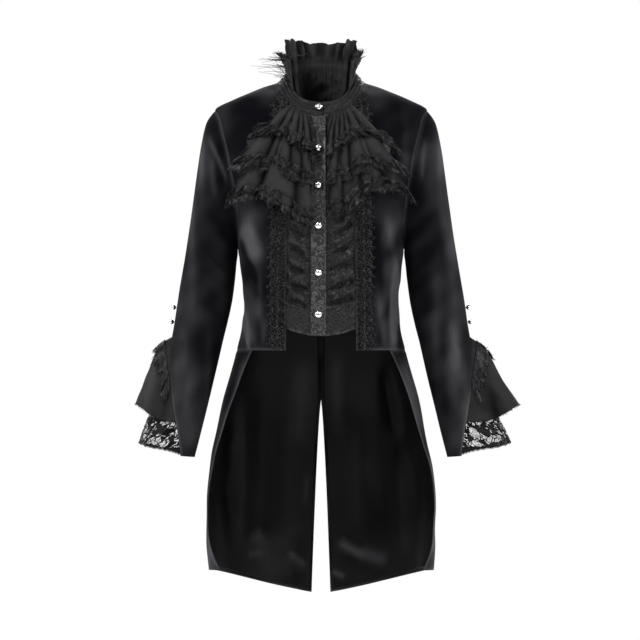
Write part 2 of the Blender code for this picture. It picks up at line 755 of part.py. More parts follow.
def over_chest(x, z, lift):
    """Point in front of the coat. Past the chest's edge it hangs straight on."""
    limit = WING_START * read(SECTIONS, z, 1)
    point, inward = torso(angle_at(min(abs(x), limit), z), z)
    moved = point - inward * lift
    return Vector((abs(x) + moved.x - point.x, moved.y, z + moved.z - point.z))


def arc(start, middle, end, u):
    """Number on a parabola through three values, at u from 0 to 1."""
    return start * (1 - u) ** 2 + (4 * middle - start - end) * u * (1 - u) + end * u * u


def make_jabot(layer, side, name):
    """One gathered tier on one side of the placket."""
    key = name.removeprefix("jabot_")
    lift, inner_x, inner_z, middle_x, middle_z, outer_x, outer_z = JABOT[key]
    seam_lift = JABOT_SEAM + JABOT_STEP * layer
    grid = []
    for share in JABOT_SHARES:
        line = []
        for i in range(JABOT_STEPS + 1):
            u = i / JABOT_STEPS
            top_x = inner_x + (JABOT_OUTER_X - inner_x) * u
            top_z = neckline(top_x) - JABOT_TUCK
            low_x, low_z = arc(inner_x, middle_x, outer_x, u), arc(inner_z, middle_z, outer_z, u)
            x, z = top_x + (low_x - top_x) * share, top_z + (low_z - top_z) * share
            stand = seam_lift + (lift - seam_lift) * min(1.0, share / JABOT_SHARES[1])
            wave = JABOT_DEPTH * share * math.sin(2 * math.pi * JABOT_WAVES * u)
            point = over_chest(x, z, stand + CHIFFON + wave)
            line.append(Vector((side * point.x, point.y, point.z)))
        grid.append(line)
    cloth(name, with_inward(grid, neck_axis), CHIFFON, "chiffon")


def make_braid(side, name):
    """Lace braid on the velvet, beside the waistcoat, made from the front's own points."""
    grid = []
    for line in front_grid(side):
        near = abs(line[0][0].x) + BRAID_MARGIN
        first = abs(line[1][0].x)
        far = min(abs(line[2][0].x), BRAID_OUTER_X)
        grid.append([along(line, x) for x in (near, first, far)])
    raised = [[(point - inward * (BRAID_LIFT + LACE), inward) for point, inward in line] for line in grid]
    cloth(name, trimmed(raised, top=BRAID_TRIM), LACE, "lace")


def along(line, x):
    """Point of a panel's row at a distance from the centre."""
    for (one, inward), (two, other) in zip(line, line[1:]):
        if abs(two.x) >= x:
            share = (x - abs(one.x)) / (abs(two.x) - abs(one.x))
            return one.lerp(two, share), inward.lerp(other, share).normalized()
    return line[-1]


def slit_edge(share, side, front):
    """Point just past the velvet's edge along the slit, from its top to the flounce's end."""
    half = sleeve_halves(side)[0 if front else 1]
    place = SLIT_RING + SLIT_START + share * (FLOUNCE_END_RING - SLIT_RING - SLIT_START)
    ring = min(int(place), FLOUNCE_END_RING - 1)
    points = []
    for line in (half[ring], half[ring + 1]):
        edge, inward = line[-1]
        past = (edge - line[-2][0]).normalized()
        points.append(edge + past * 3 * SEAM + inward * (VELVET / 2))
    return points[0].lerp(points[1], place - ring)


def flounce_line(profile, around, share, side, wave):
    """Point of a flounce: around is -90 at its front end, 0 outermost and 90 at its back end."""
    turn = math.radians(around)
    end = abs(math.sin(turn)) ** FLOUNCE_ROUND
    seam = slit_edge(abs(around) / 90 * SEAM_SHARE, side, around < 0)
    close = slit_edge(1.0, side, around < 0)
    hem = Vector((side * profile[-1][1], seam.y * (1 - end), profile[-1][0]))
    hem = hem.lerp(close, end)
    hem.z -= FLOUNCE_SWAG * math.sin(math.pi * end)
    hem.y += math.copysign(FLOUNCE_HALF_DEPTH, around) * math.sin(math.pi * end) * FLOUNCE_SPREAD
    z_middle = profile[0][0] + (profile[-1][0] - profile[0][0]) * share
    straight = profile[0][1] + (profile[-1][1] - profile[0][1]) * share
    bulge = (read(profile, z_middle, 1) - straight) * (1 - end)
    point = seam.lerp(hem, share) + Vector((side * bulge, 0, 0))
    away = point - sleeve_axis(point)
    return point + away.normalized() * wave * (1 - end)


def sleeve_section(z):
    """Middle x and y, half width and half depth of the sleeve at a height."""
    table = [((row[1] + row[3]) / 2, (row[0] + row[2]) / 2, row[5], (row[2] - row[0]) / 2, row[4], row[6])
             for row in SLEEVE]
    return [read(table, z, column) for column in range(1, 6)]


def sleeve_axis(point):
    """Middle of the sleeve at a point's height."""
    x, y, _, _, _ = sleeve_section(point.z)
    return Vector((math.copysign(x, point.x), y, point.z))


def flounce_grid(side):
    """Points of the chiffon flounce that falls out of the slit."""
    profile = FLOUNCE_L if side < 0 else FLOUNCE_R
    rows = []
    for share in FLOUNCE_SHARES:
        line = []
        for i, around in enumerate(spread(-90, 90, FLOUNCE_STEPS)):
            wave = FLOUNCE_DEPTH * share * math.sin(2 * math.pi * FLOUNCE_WAVES * i / FLOUNCE_STEPS)
            line.append(flounce_line(profile, around, share, side, wave))
        rows.append(line)
    return with_inward(rows, sleeve_axis)


def make_flounce(side, name):
    """Chiffon flounce."""
    cloth(name, flounce_grid(side), CHIFFON, "chiffon")


def make_cuff_ruffle(side, name):
    """Small lace ruffle on the upper part of the flounce, made from its points."""
    seam, lower = flounce_grid(side)[:2]
    lift = LACE + 2 * SEAM
    pairs = list(zip(seam, lower))[CUFF_RUFFLE_INSET:-CUFF_RUFFLE_INSET]
    rows = []
    for share in CUFF_RUFFLE_SHARES:
        line = []
        for (one, inward), (two, other) in pairs:
            direction = inward.lerp(other, share).normalized()
            line.append((one.lerp(two, share) - direction * lift, direction))
        rows.append(line)
    cloth(name, rows, LACE, "lace")


def make_cuff_lace(side, name):
    """Lace flounce below the chiffon one. Past the slit's edges it lies inside the sleeve."""
    rows = []
    for share in CUFF_LACE_SHARES:
        line = []
        for i, around in enumerate(spread(-CUFF_LACE_TURN, CUFF_LACE_TURN, FLOUNCE_STEPS)):
            low_z = CUFF_LACE_SIDE_Z + (CUFF_LACE_END_Z - CUFF_LACE_SIDE_Z) * abs(around) / CUFF_LACE_TURN
            z = CUFF_LACE_TOP_Z + (low_z - CUFF_LACE_TOP_Z) * share
            x, y, half, depth, cut = sleeve_section(z)
            free = min(1.0, max(0.0, (180 - cut - CUFF_LACE_TUCK - abs(around)) / CUFF_LACE_EASE))
            free = free * free * (3 - 2 * free)
            wave = FLOUNCE_DEPTH * share * math.sin(2 * math.pi * FLOUNCE_WAVES * i / FLOUNCE_STEPS)
            reach = half - CUFF_LACE_INSIDE
            reach += (CUFF_LACE_REACH[side] - x - reach) * free * share ** CUFF_LACE_ROUND + wave * free
            across = (depth - CUFF_LACE_INSIDE) * (1 + CUFF_LACE_FLARE * free * share)
            turn = math.radians(around)
            line.append(Vector((side * (x + reach * math.cos(turn)), y + across * math.sin(turn), z)))
        rows.append(line)
    cloth(name, with_inward(rows, sleeve_axis), LACE, "lace")


def make_button(name, foot, outward, profile):
    """Turned button whose foot sits just clear of the cloth."""
    mesh = bmesh.new()
    verts = [mesh.verts.new((radius, 0, height)) for radius, height in profile]
    centre = mesh.verts.new((0, 0, 0))
    edges = [mesh.edges.new(pair) for pair in zip([centre] + verts[:-1], verts)]
    bmesh.ops.spin(mesh, geom=[centre] + verts + edges, axis=(0, 0, 1), cent=(0, 0, 0),
                   steps=BUTTON_SIDES, angle=2 * math.pi, use_merge=True)
    bmesh.ops.remove_doubles(mesh, verts=mesh.verts, dist=0.00005)
    turn = outward.to_track_quat("Z", "Y").to_matrix()
    bmesh.ops.rotate(mesh, verts=mesh.verts, cent=(0, 0, 0), matrix=turn)
    bmesh.ops.translate(mesh, verts=mesh.verts, vec=foot + outward * SEAM)
    add_object(name, mesh, "silver")


def make_buttons():
    """Six dome buttons on the band and placket, and two balls above each slit."""
    for number, z in enumerate(BUTTON_HEIGHTS, start=1):
        if number == 1:
            lower = torso(angle_at(BUTTON_X, NECK_FRONT_Z), NECK_FRONT_Z)[0]
            upper = band_top(ring_angle(BUTTON_X))
            share = (z - lower.z) / (upper.z - lower.z)
            foot = lower + (upper - lower) * share
            rise = upper - lower
            outward = Vector((0, -rise.z, rise.y)).normalized()
        else:
            point, inward = torso(angle_at(BUTTON_X, z), z)
            outward = -inward
            foot = point + outward * (BROCADE + 2 * SEAM)
        make_button(f"button_{number}", foot, outward, DOME)
    seam = [sleeve_point(ring, 180, 1, True) for ring in range(len(SLEEVE))]
    table = [(point.z, point.x, point.y) for point in seam]
    for side, letter in ((-1, "l"), (1, "r")):
        for number, z in enumerate(CUFF_BUTTON_HEIGHTS, start=1):
            x, y = read(table, z, 1), read(table, z, 2)
            outward = Vector((side, 0, CUFF_BUTTON_TILT)).normalized()
            make_button(f"cuff_button_{letter}{number}", Vector((side * x, y, z)), outward, BALL)


def main():
    """Build every piece."""
    for item in list(bpy.data.objects):
        bpy.data.objects.remove(item)
    for side, letter in ((-1, "l"), (1, "r")):
        make_front(side, f"front_{letter}")
        make_back(side, f"back_{letter}")
        make_tail(side, f"tail_{letter}")
        make_vest(side, f"vest_{letter}")
        make_braid(side, f"braid_{letter}")
        make_sleeve(side, True, f"sleeve_front_{letter}")
        make_sleeve(side, False, f"sleeve_back_{letter}")
        make_flounce(side, f"cuff_flounce_{letter}")
        make_cuff_ruffle(side, f"cuff_ruffle_{letter}")
        make_cuff_lace(side, f"cuff_lace_{letter}")
        for layer, tier in enumerate(JABOT_LAYERS):
            make_jabot(layer, side, f"jabot_{tier}_{letter}")
    make_placket()
    make_neckband()
    make_frill()
    make_ruffle()
    make_buttons()


if __name__ == "__main__":
    main()
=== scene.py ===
"""Looks of a stand-collar tailcoat: velvet, satin, brocade, gathered chiffon, lace and buttons.

Metres, +Z up, the front faces -Y, the origin is the middle of the neck. Each piece of cloth is a
thin shell on the form of its own solid. An angle of 0 is the centre front and 180 the centre back.
"""

import json
import math

import bmesh
import bpy
import numpy as np
from bpy.props import FloatProperty, FloatVectorProperty, PointerProperty
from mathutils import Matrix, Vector

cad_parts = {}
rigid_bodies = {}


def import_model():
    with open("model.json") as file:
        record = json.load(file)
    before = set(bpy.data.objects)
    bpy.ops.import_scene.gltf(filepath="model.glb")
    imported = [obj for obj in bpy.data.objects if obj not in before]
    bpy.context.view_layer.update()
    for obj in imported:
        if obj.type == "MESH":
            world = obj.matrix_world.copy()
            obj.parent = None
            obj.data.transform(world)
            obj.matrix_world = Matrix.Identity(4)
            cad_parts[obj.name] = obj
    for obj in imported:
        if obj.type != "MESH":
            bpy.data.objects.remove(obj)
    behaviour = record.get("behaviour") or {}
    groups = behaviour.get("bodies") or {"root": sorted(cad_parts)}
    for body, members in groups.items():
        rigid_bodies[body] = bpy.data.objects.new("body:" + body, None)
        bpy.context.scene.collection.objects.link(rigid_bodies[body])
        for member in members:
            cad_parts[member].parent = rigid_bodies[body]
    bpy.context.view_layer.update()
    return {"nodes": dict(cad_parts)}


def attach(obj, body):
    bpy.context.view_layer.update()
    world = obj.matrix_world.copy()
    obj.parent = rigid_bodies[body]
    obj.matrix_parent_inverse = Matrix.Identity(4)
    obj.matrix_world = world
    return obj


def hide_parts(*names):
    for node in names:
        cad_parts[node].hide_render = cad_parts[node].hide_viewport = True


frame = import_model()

bl_info = {
    "name": "Stand-collar tailcoat",
    "version": (1, 0, 0),
    "blender": (4, 5, 0),
    "location": "3D View > Sidebar > Tailcoat",
    "description": "Makes the cloth, trimmings and buttons of a stand-collar tailcoat",
    "category": "Object",
}

SIDES = ((-1, "l"), (1, "r"))

# Cloth: thickness, look, slot, how it is held and the look of its wrong side
CLOTHS = {
    "velvet": (0.0018, "velvet", "velvet", "hung", "backing"),
    "lined velvet": (0.0018, "velvet", "velvet", "hung", None),
    "brocade": (0.0016, "brocade", "brocade", "hung", "backing"),
    "satin": (0.001, "satin", "satin", "hung", None),
    "chiffon": (0.0009, "chiffon", "chiffon", "gathered", None),
    "lace": (0.0007, "lace", "lace", "gathered", None),
    "edging": (0.0007, "ruffle_lace", "lace", "gathered", None),
}
VELVET, BROCADE, CHIFFON = CLOTHS["velvet"][0], CLOTHS["brocade"][0], CLOTHS["chiffon"][0]
SEAM = 0.0003
SEAM_ROLL = 0.0011
SEAM_ROLL_WIDTH = 0.0035
# Velvet's painted light: base level, how much paler ridges and darker hollows are painted, and the fold
# depth for that
VELVET_LIGHT_LEVEL, PAINTED_FOLD_SHADE, PAINTED_FOLD_DEPTH = 0.12, 0.22, 0.0022
# Slow swells of a surface, or of how pale it is: size across, height and seed
SWELLS = {
    "nap": (0.05, 0.16, 7), "body": (0.11, 0.0012, 3), "sleeve": (0.09, 0.0012, 11),
    "tail": (0.12, 0.003, 21), "vest": (0.014, 0.003, 31), "vest small": (0.0065, 0.0014, 35),
    "placket": (0.03, 0.0008, 41), "placket nap": (0.02, 0.6, 43), "band": (0.018, 0.0012, 51),
    "band nap": (0.015, 0.25, 53), "frill": (0.021, 0.0032, 68), "frill inside": (0.012, 0.006, 70),
    "ruffle": (0.012, 0.004, 75), "flounce": (0.035, 0.0022, 83), "jabot": (0.028, 1.0, 130),
}
# Waves along a line: size, height and seed
WAVES = {
    "frill edge": (0.006, 0.0008, 62), "frill lean": (0.014, 0.002, 67), "frill sway": (0.013, 0.006, 69),
    "ruffle edge": (0.014, 0.004, 71), "jabot hem": (0.013, 0.003, 120), "edging width": (0.018, 0.4, 0),
    "edging scallop": (0.004, 0.2, 1), "edging": (0.0062, 0.0052, 2), "edging small": (0.0032, 0.0022, 3),
    "edging sway": (0.0085, 0.006, 4), "edging curl": (0.003, 0.0012, 5),
}
# Gathers: pitch (in degrees on the cuffs) and seed
GATHERS = {
    "frill lobes": (0.024, 61), "frill": (0.0165, 63), "frill small": (0.0055, 64),
    "frill low": (0.0065, 65), "ruffle": (0.01, 72), "ruffle small": (0.0045, 73), "flounce": (9.0, 81),
    "cuff lace": (19.0, 87),
}

# Body sections: height, half width, depth to the front and to the back
SECTIONS = (
    (0.022, 0.069, 0.034, 0.054), (0.006, 0.078, 0.04, 0.062), (-0.0036, 0.1047, 0.047, 0.067),
    (-0.0107, 0.1226, 0.053, 0.072), (-0.025, 0.1575, 0.063, 0.08), (-0.044, 0.19, 0.074, 0.088),
    (-0.075, 0.185, 0.09, 0.097), (-0.115, 0.179, 0.106, 0.102), (-0.165, 0.169, 0.119, 0.104),
    (-0.215, 0.159, 0.126, 0.101), (-0.255, 0.152, 0.124, 0.097), (-0.293, 0.148, 0.118, 0.093),
    (-0.33, 0.1435, 0.111, 0.089), (-0.392, 0.137, 0.103, 0.086), (-0.437, 0.1423, 0.105, 0.091),
    (-0.4726, 0.151, 0.109, 0.099), (-0.526, 0.1647, 0.115, 0.112), (-0.598, 0.1826, 0.112, 0.126),
    (-0.669, 0.196, 0.096, 0.136), (-0.741, 0.2035, 0.078, 0.142), (-0.813, 0.2045, 0.062, 0.146),
    (-0.87, 0.2, 0.056, 0.148), (-0.92, 0.198, 0.054, 0.15),
)
SQUARENESS = 2.5

# Neck, shoulders and armhole seam (height, distance from the centre on the front and on the back)
NECK_HALF = 0.078
NECK_FRONT_Z = -0.057
NECK_POINT_Z = 0.006
NECK_BACK_Z = 0.020
NECK_CURVE = 3.0
SHOULDER_Z = -0.044
UNDERARM_Z = -0.293
ARMHOLE = (
    (-0.044, 0.19, 0.19), (-0.061, 0.184, 0.185), (-0.088, 0.177, 0.179), (-0.12, 0.169, 0.172),
    (-0.16, 0.161, 0.165), (-0.19, 0.1555, 0.159), (-0.23, 0.1505, 0.153), (-0.27, 0.148, 0.149),
    (-0.293, 0.148, 0.148),
)
SHOULDER_STEPS, ARMHOLE_STEPS, SIDE_STEPS = 12, 58, 40
FRONT_COLUMNS, BACK_COLUMNS = 40, 44

# Fronts, waistcoat and placket
FRONT_INNER_X = 0.0590
FRONT_CORNER_X = 0.0630
FRONT_HEM_Z = -0.4726
# Painted highlight along the velvet's rolled seam edges, on the fronts and on the other pieces
FRONT_EDGE_SHEEN, EDGE_SHEEN = 0.65, 0.45
BUTTON_X = -0.0045
PLACKET_HALF = 0.0135
VEST_HEM_Z = -0.4475
VEST_HEM_RISE = 0.0130
VEST_FLAT = 0.046
VEST_DEEPEST = 0.0060
VEST_FOLD_HEIGHT = 2.0
# Painted light on the waistcoat: width and start of the ridge shading, and how pale the ridges, the flat
# band and the piping are painted
VEST_RELIEF, VEST_RELIEF_FROM = 0.0016, 0.0006
VEST_RIDGE_LIGHT, VEST_FLAT_LIGHT, PIPING_HIGHLIGHT = 0.18, 0.15, 0.6
# How brightly the placket is painted as lit
PLACKET_LIGHT = 1.10
VEST_FLAT_FADE = 0.010
VEST_BEHIND = 0.0012
PIPING = 0.0016
PIPING_HEIGHT, PIPING_PALE = 0.0010, 0.0014
PLACKET_OVERLAP, PLACKET_CLEAR = 0.002, 0.009
PLACKET_EDGE = 0.0012
VEST_ROWS, VEST_COLUMNS, PLACKET_COLUMNS = 164, 30, 16

# Backs and tails, with the angle of a tail's front edge at each height
WAIST_SEAM_RISE = 0.045
TAIL_TIP_Z = -0.914
TAIL_CORNER_Z = -0.866
VENT_TOP_Z = -0.566
VENT_HALF = 0.0170
VENT_ROUND = 0.7
LINING_INSET = 0.0045
LINING_GAP = 0.0014
# Satin's painted light: base level, painted highlight and shade by how the folds stand, and the fold depth
# for that
SATIN_LEVEL, SATIN_FOLD_SHADE, SATIN_DEPTH = 0.12, 0.06, 0.004
LOOSE_FROM_Z, LOOSE_OVER = -0.45, 0.12
TAIL_ROWS, TAIL_COLUMNS = 84, 64
TAIL_EDGE = (
    (-0.4726, 51.0), (-0.523, 59.8), (-0.566, 65.3), (-0.616, 69.0), (-0.669, 74.0), (-0.705, 79.5),
    (-0.76, 84.0), (-0.8, 80.0), (-0.835, 71.0), (-0.87, 61.0),
)
TAIL_FRONT_ANGLE = TAIL_EDGE[0][1]

# Sleeve rings: inner x and z, outer x and z, half depth, y of the middle, angle that is cloth
SLEEVE = (
    (0.148, -0.293, 0.19, -0.044, 0.05, 0.0, 180), (0.1484, -0.2975, 0.205, -0.066, 0.053, 0.001, 180),
    (0.149, -0.305, 0.214, -0.103, 0.056, 0.003, 180), (0.1506, -0.316, 0.222, -0.155, 0.057, 0.006, 180),
    (0.1535, -0.345, 0.233, -0.235, 0.056, 0.009, 180), (0.1585, -0.384, 0.245, -0.312, 0.053, 0.01, 180),
    (0.1665, -0.422, 0.256, -0.378, 0.05, 0.008, 180), (0.176, -0.46, 0.2655, -0.44, 0.047, 0.004, 180),
    (0.185, -0.5, 0.2745, -0.48, 0.046, 0.0, 152), (0.195, -0.543, 0.283, -0.522, 0.045, -0.004, 133),
    (0.205, -0.583, 0.291, -0.564, 0.044, -0.007, 113), (0.216, -0.627, 0.299, -0.61, 0.043, -0.01, 88),
    (0.2255, -0.664, 0.306, -0.656, 0.042, -0.012, 66),
)
SLEEVE_ROWS, SLEEVE_COLUMNS = 112, 40
SLIT_RING = 7
ARMHOLE_FADE = (1.0, 0.55, 0.2, 0.0)
ARMHOLE_TUCK = 0.005
ARMHOLE_TUCK_IN = 0.03

# Collar
BAND_TOP_HALF = 0.0555
BAND_TOP_FRONT_Z = -0.030
BAND_TOP_SIDE_Z = 0.030
BAND_TOP_BACK_Z = 0.044
BAND_TOP_FRONT_Y = -0.070
BAND_TOP_BACK_Y = 0.047
BAND_OPENING_X = BUTTON_X + 0.009
BAND_GAP_ANGLE = 0.1
BAND_RIDGES = 4
BAND_RIDGE = 0.0020
BAND_TUCK = 0.0036
BAND_STRETCH = 3.2
# Painted highlight on the band's ridges, and painted shade taken off everywhere
BAND_RIDGE_LIGHT, BAND_SHADE = 0.42, 0.06
BAND_ROWS, BAND_COLUMNS = 20, 184
FRILL_START = 43
FRILL_HALF = 0.0620
FRILL_TOP_Z = 0.0800
FRILL_FRONT_Y = -0.066
FRILL_BACK_Y = 0.058
FRILL_DROP = 0.020
FRILL_DROP_BACK = 0.078
FRILL_BACK_ANGLE, FRILL_BACK_OVER = 95, 45
FRILL_LOBE = 0.0075
FRILL_SEAM = 0.40
FRILL_BEHIND = 0.0022
FRILL_INSIDE = 0.0030
FRILL_CLEAR = 0.0020
FRILL_END = 0.040
FRILL_TWIST = 0.006
FRILL_FORWARD = 0.0008
FRILL_RELIEF = 0.0026
FRILL_PINCH = 0.05
FRILL_FRAY, FRILL_THREADS, FRILL_SEED = 0.0016, 50, 66
FRILL_GATHER, FRILL_LOW_GATHER, FRILL_SMALL_GATHER = 0.0100, 0.0026, 0.0018
FRILL_ROWS, FRILL_COLUMNS, FRILL_INNER_ROW = 41, 301, 25
RUFFLE_START = 52
RUFFLE_HALF = 0.0665
RUFFLE_TOP_Z = 0.050
RUFFLE_FRONT_Y = -0.0740
RUFFLE_BACK_Y = 0.0690
RUFFLE_OUT, RUFFLE_DOWN, RUFFLE_RELIEF = 0.0040, 0.0020, 0.0024
RUFFLE_GATHER, RUFFLE_SMALL_GATHER = 0.0075, 0.0016
RUFFLE_LACE, RUFFLE_SEED = 0.0095, 74
RUFFLE_ROWS, RUFFLE_COLUMNS = 18, 261
# Loose tufts on the left of the ruffle: angles they lie between, then row, name, seed and reach of each
TUFT_ANGLES = (246, 300)
TUFTS = ((2, "upper", 76, 0.0165), (14, "lower", 77, 0.0260))
TUFT_THREADS, TUFT_THREAD, TUFT_CURL, TUFT_UP = 60, 0.0005, 1.3, 0.25

# Lace edgings and loose threads
EDGING_STEP = 0.0013
EDGING_ROWS = 8
EDGING_UNDER = 0.003
EDGING_OUT = 0.0012
EDGING_MEAN = 0.78
EDGING_THREADS = 1500
EDGING_REACH = 0.0052
THREAD, EDGING_THREAD = 0.00022, 0.0003
THREAD_POINTS = 4
THREAD_TAPER = 0.45
THREAD_SIDEWAYS, THREAD_OUTWARDS, THREAD_LEAST = 0.6, 0.45, 0.35

# Jabot: distance from the coat and outer end of each tier, then points of its chiffon hem as x and z
JABOT = {
    "low_l": (0.0065, 0.152, (
        (0.014, -0.246), (0.036, -0.236), (0.058, -0.216), (0.08, -0.204), (0.11, -0.199), (0.134, -0.198),
        (0.152, -0.207),
    )),
    "low_r": (0.0065, 0.146, (
        (0.01, -0.226), (0.036, -0.222), (0.058, -0.204), (0.08, -0.186), (0.105, -0.18), (0.13, -0.188),
        (0.146, -0.2),
    )),
    "mid_l": (0.012, 0.141, (
        (0.014, -0.172), (0.04, -0.162), (0.06, -0.15), (0.09, -0.142), (0.12, -0.138), (0.141, -0.142),
    )),
    "mid_r": (0.012, 0.136, (
        (0.01, -0.172), (0.035, -0.166), (0.06, -0.15), (0.085, -0.142), (0.115, -0.146), (0.136, -0.156),
    )),
    "top_l": (0.017, 0.112, (
        (0.014, -0.122), (0.034, -0.108), (0.055, -0.096), (0.08, -0.09), (0.1, -0.092), (0.112, -0.098),
    )),
    "top_r": (0.017, 0.124, (
        (0.01, -0.122), (0.03, -0.114), (0.048, -0.096), (0.07, -0.088), (0.1, -0.104), (0.124, -0.124),
    )),
}
JABOT_INNER_X = {"l": 0.020, "r": 0.012}
JABOT_OUTER_X = 0.052
JABOT_SEAM = 0.0038
JABOT_STEP = 0.0018
JABOT_TUCK = 0.0012
JABOT_HANG = 0.35
JABOT_REACH = 0.07
JABOT_UPPER_OUT = 0.0018
JABOT_SEED, JABOT_UPPER_SEED = 100, 160
JABOT_LACE = {"low": 0.0125, "mid": 0.0200, "top": 0.0200}
JABOT_GATHER, JABOT_RIPPLE, JABOT_SWELL = 0.0022, 0.0012, 0.0024
JABOT_ROWS, JABOT_COLUMNS, JABOT_FREE_ROW = 45, 121, 25
WING_START = 0.93
# Pleats: the fan's centre as x and z, then valleys in degrees from straight down and the heights
# between them
PLEAT_CENTRE = (0.030, -0.010)
PLEAT_HEIGHT = 1.35
PLEAT_BEND, PLEAT_BEND_LENGTH, PLEAT_BEND_START = 1.8, 0.024, 0.08
PLEATS = {
    "low_l": ((-14, 0.004), (-5, 0.006), (6, 0.009), (25, 0.01), (46, 0.005), (58, 0.0)),
    "mid_l": (
        (-14, 0.004), (-4, 0.006), (3, 0.005), (12, 0.008), (22, 0.005), (29, 0.009), (44, 0.006),
        (58, 0.0),
    ),
    "top_l": (
        (-14, 0.004), (-6, 0.006), (2, 0.005), (9, 0.008), (20, 0.007), (31, 0.009), (43, 0.006), (58, 0.0),
    ),
    "low_r": ((-14, 0.005), (-3, 0.006), (4, 0.005), (14, 0.008), (27, 0.01), (48, 0.006), (58, 0.0)),
    "mid_r": (
        (-14, 0.005), (-6, 0.006), (2, 0.005), (10, 0.008), (24, 0.009), (38, 0.007), (50, 0.005),
        (58, 0.0),
    ),
    "top_r": (
        (-14, 0.004), (-9, 0.005), (-3, 0.006), (3, 0.006), (10, 0.006), (17, 0.009), (29, 0.009),
        (42, 0.006), (58, 0.0),
    ),
}
FRONT_LIMIT = -0.1530

# Braid beside the waistcoat: leaves as offset, place along, length, width and turn, picots as side of the
# middle, number and size, and veins as offset, swing and phase
BRAID_INNER = 0.0012
BRAID_WIDTH = 0.0330
BRAID_MIDDLE = BRAID_INNER + 0.42 * BRAID_WIDTH
BRAID_REPEAT = 0.0168
BRAID_CORD = 0.00075
BRAID_LIFT = BRAID_CORD + 0.0004
BRAID_LEAVES = (
    (0.0048, 0.0, 0.0085, 0.0046, 0.55), (0.0095, -0.0034, 0.008, 0.0046, -0.35),
    (0.01, 0.0036, 0.0076, 0.0042, 0.75), (0.0032, -0.0058, 0.0056, 0.0034, -0.9),
    (0.0066, 0.0072, 0.006, 0.0034, 0.2), (0.012, -0.0076, 0.005, 0.0034, 1.1),
    (0.002, 0.004, 0.004, 0.003, 1.3),
)
BRAID_EYE = 0.0044
BRAID_PICOTS = ((1, 0, 0.0052), (1, 1, 0.0040), (-1, 0, 0.0036))
BRAID_PICOT_IN, BRAID_PICOT_SWAY, BRAID_PICOT_STEP = 0.0028, 0.0030, 0.0060
BRAID_VEINS = (
    (BRAID_MIDDLE, 0.0016, 0.0), (BRAID_MIDDLE, 0.0016, math.pi), (BRAID_INNER + 0.0008, 0.0004, 0.0),
    (BRAID_WIDTH - 0.0050, 0.0030, 0.6),
)
VEIN_STEP, GROUND_STEP = 0.0022, 0.0030
# Net threads under the braid: three points each, as place along, offset and lift
BRAID_GROUND = tuple(
    ((a, BRAID_INNER + 0.001, 0.0004), (b, BRAID_MIDDLE, lift), (c, BRAID_WIDTH - 0.006, 0.0004))
    for a, b, c, lift in ((0.0, 0.002, -0.001, 0.0004), (0.002, -0.0005, 0.003, 0.0005))
)
LEAF_POINTS = 10

# Cuffs: the middle profile of each flounce, as height and reach from the centre
FLOUNCE = {
    -1: ((-0.44, 0.26), (-0.453, 0.279), (-0.4726, 0.2918), (-0.508, 0.306), (-0.569, 0.329)),
    1: ((-0.44, 0.26), (-0.456, 0.2825), (-0.4815, 0.3007), (-0.52, 0.32), (-0.571, 0.353)),
}
FLOUNCE_END_RING = 11
FLOUNCE_HALF_DEPTH = 0.030
FLOUNCE_SWAG = 0.010
FLOUNCE_SPREAD = 0.5
FLOUNCE_ROUND = 1.5
FLOUNCE_FOLD, FLOUNCE_GATHER = 0.0042, 0.0026
FLOUNCE_FOLDS, FLOUNCE_SHIFT, FLOUNCE_RIPPLES = 2.6, 0.15, 6.2
FLOUNCE_RELIEF = 0.0040
FLOUNCE_FRAY, FLOUNCE_THREADS, FLOUNCE_SEED = 0.0045, 320, 84
FLOUNCE_ROWS, FLOUNCE_COLUMNS = 41, 121
SEAM_SHARE = 0.85
SLIT_START = 0.2
SLIT_TUCK = 0.0015
FLOUNCE_CLOSE = 0.90
CUFF_RUFFLE_ROWS = (3, 7)
CUFF_RUFFLE_COLUMNS = slice(23, 98)
CUFF_RUFFLE_WIDTH, CUFF_RUFFLE_OUT, CUFF_RUFFLE_SEED = 0.0330, 0.0012, 90
CUFF_LACE_REACH = {-1: 0.323, 1: 0.335}
CUFF_LACE_TOP_Z = -0.550
CUFF_LACE_SIDE_Z = -0.637
CUFF_LACE_END_Z = -0.661
CUFF_LACE_TURN = 125
CUFF_LACE_TUCK = 14
CUFF_LACE_EASE = 50
CUFF_LACE_INSIDE = VELVET + 0.0022
CUFF_LACE_FLARE = 0.15
CUFF_LACE_ROUND = 0.8
CUFF_LACE_WAVE = 0.0085
CUFF_LACE_ROWS, CUFF_LACE_COLUMNS = 27, 161
SCALLOP, SCALLOP_ANGLE = 0.0016, 9
PICOT, PICOT_STEP, PICOT_CORD = 0.0022, 0.0030, 0.0004
LACE_BORDER = 0.094

# Folds, seen from the front: start x and z, end x and z, width, and how far they stand out
FRONT_FOLDS = {
    -1: (
        (-0.15, -0.25, -0.118, -0.33, 0.012, 0.003), (-0.146, -0.3, -0.1, -0.395, 0.01, -0.0035),
        (-0.138, -0.35, -0.108, -0.44, 0.009, 0.0028), (-0.12, -0.232, -0.105, -0.3, 0.01, -0.0022),
        (-0.136, -0.405, -0.125, -0.47, 0.006, 0.003), (-0.115, -0.4, -0.109, -0.47, 0.006, -0.0022),
        (-0.098, -0.41, -0.104, -0.47, 0.005, 0.0016), (-0.16, -0.12, -0.12, -0.18, 0.014, 0.0018),
        (-0.14, -0.06, -0.15, -0.13, 0.012, -0.0016),
    ),
    1: (
        (0.152, -0.24, 0.122, -0.32, 0.012, -0.003), (0.146, -0.28, 0.112, -0.35, 0.011, 0.003),
        (0.14, -0.345, 0.118, -0.43, 0.009, -0.0028), (0.134, -0.31, 0.136, -0.44, 0.007, 0.003),
        (0.126, -0.4, 0.132, -0.47, 0.006, 0.0026), (0.11, -0.395, 0.104, -0.47, 0.006, -0.002),
        (0.098, -0.3, 0.102, -0.4, 0.008, 0.0012), (0.158, -0.11, 0.112, -0.19, 0.014, 0.0018),
        (0.138, -0.06, 0.148, -0.13, 0.012, -0.0016),
    ),
}
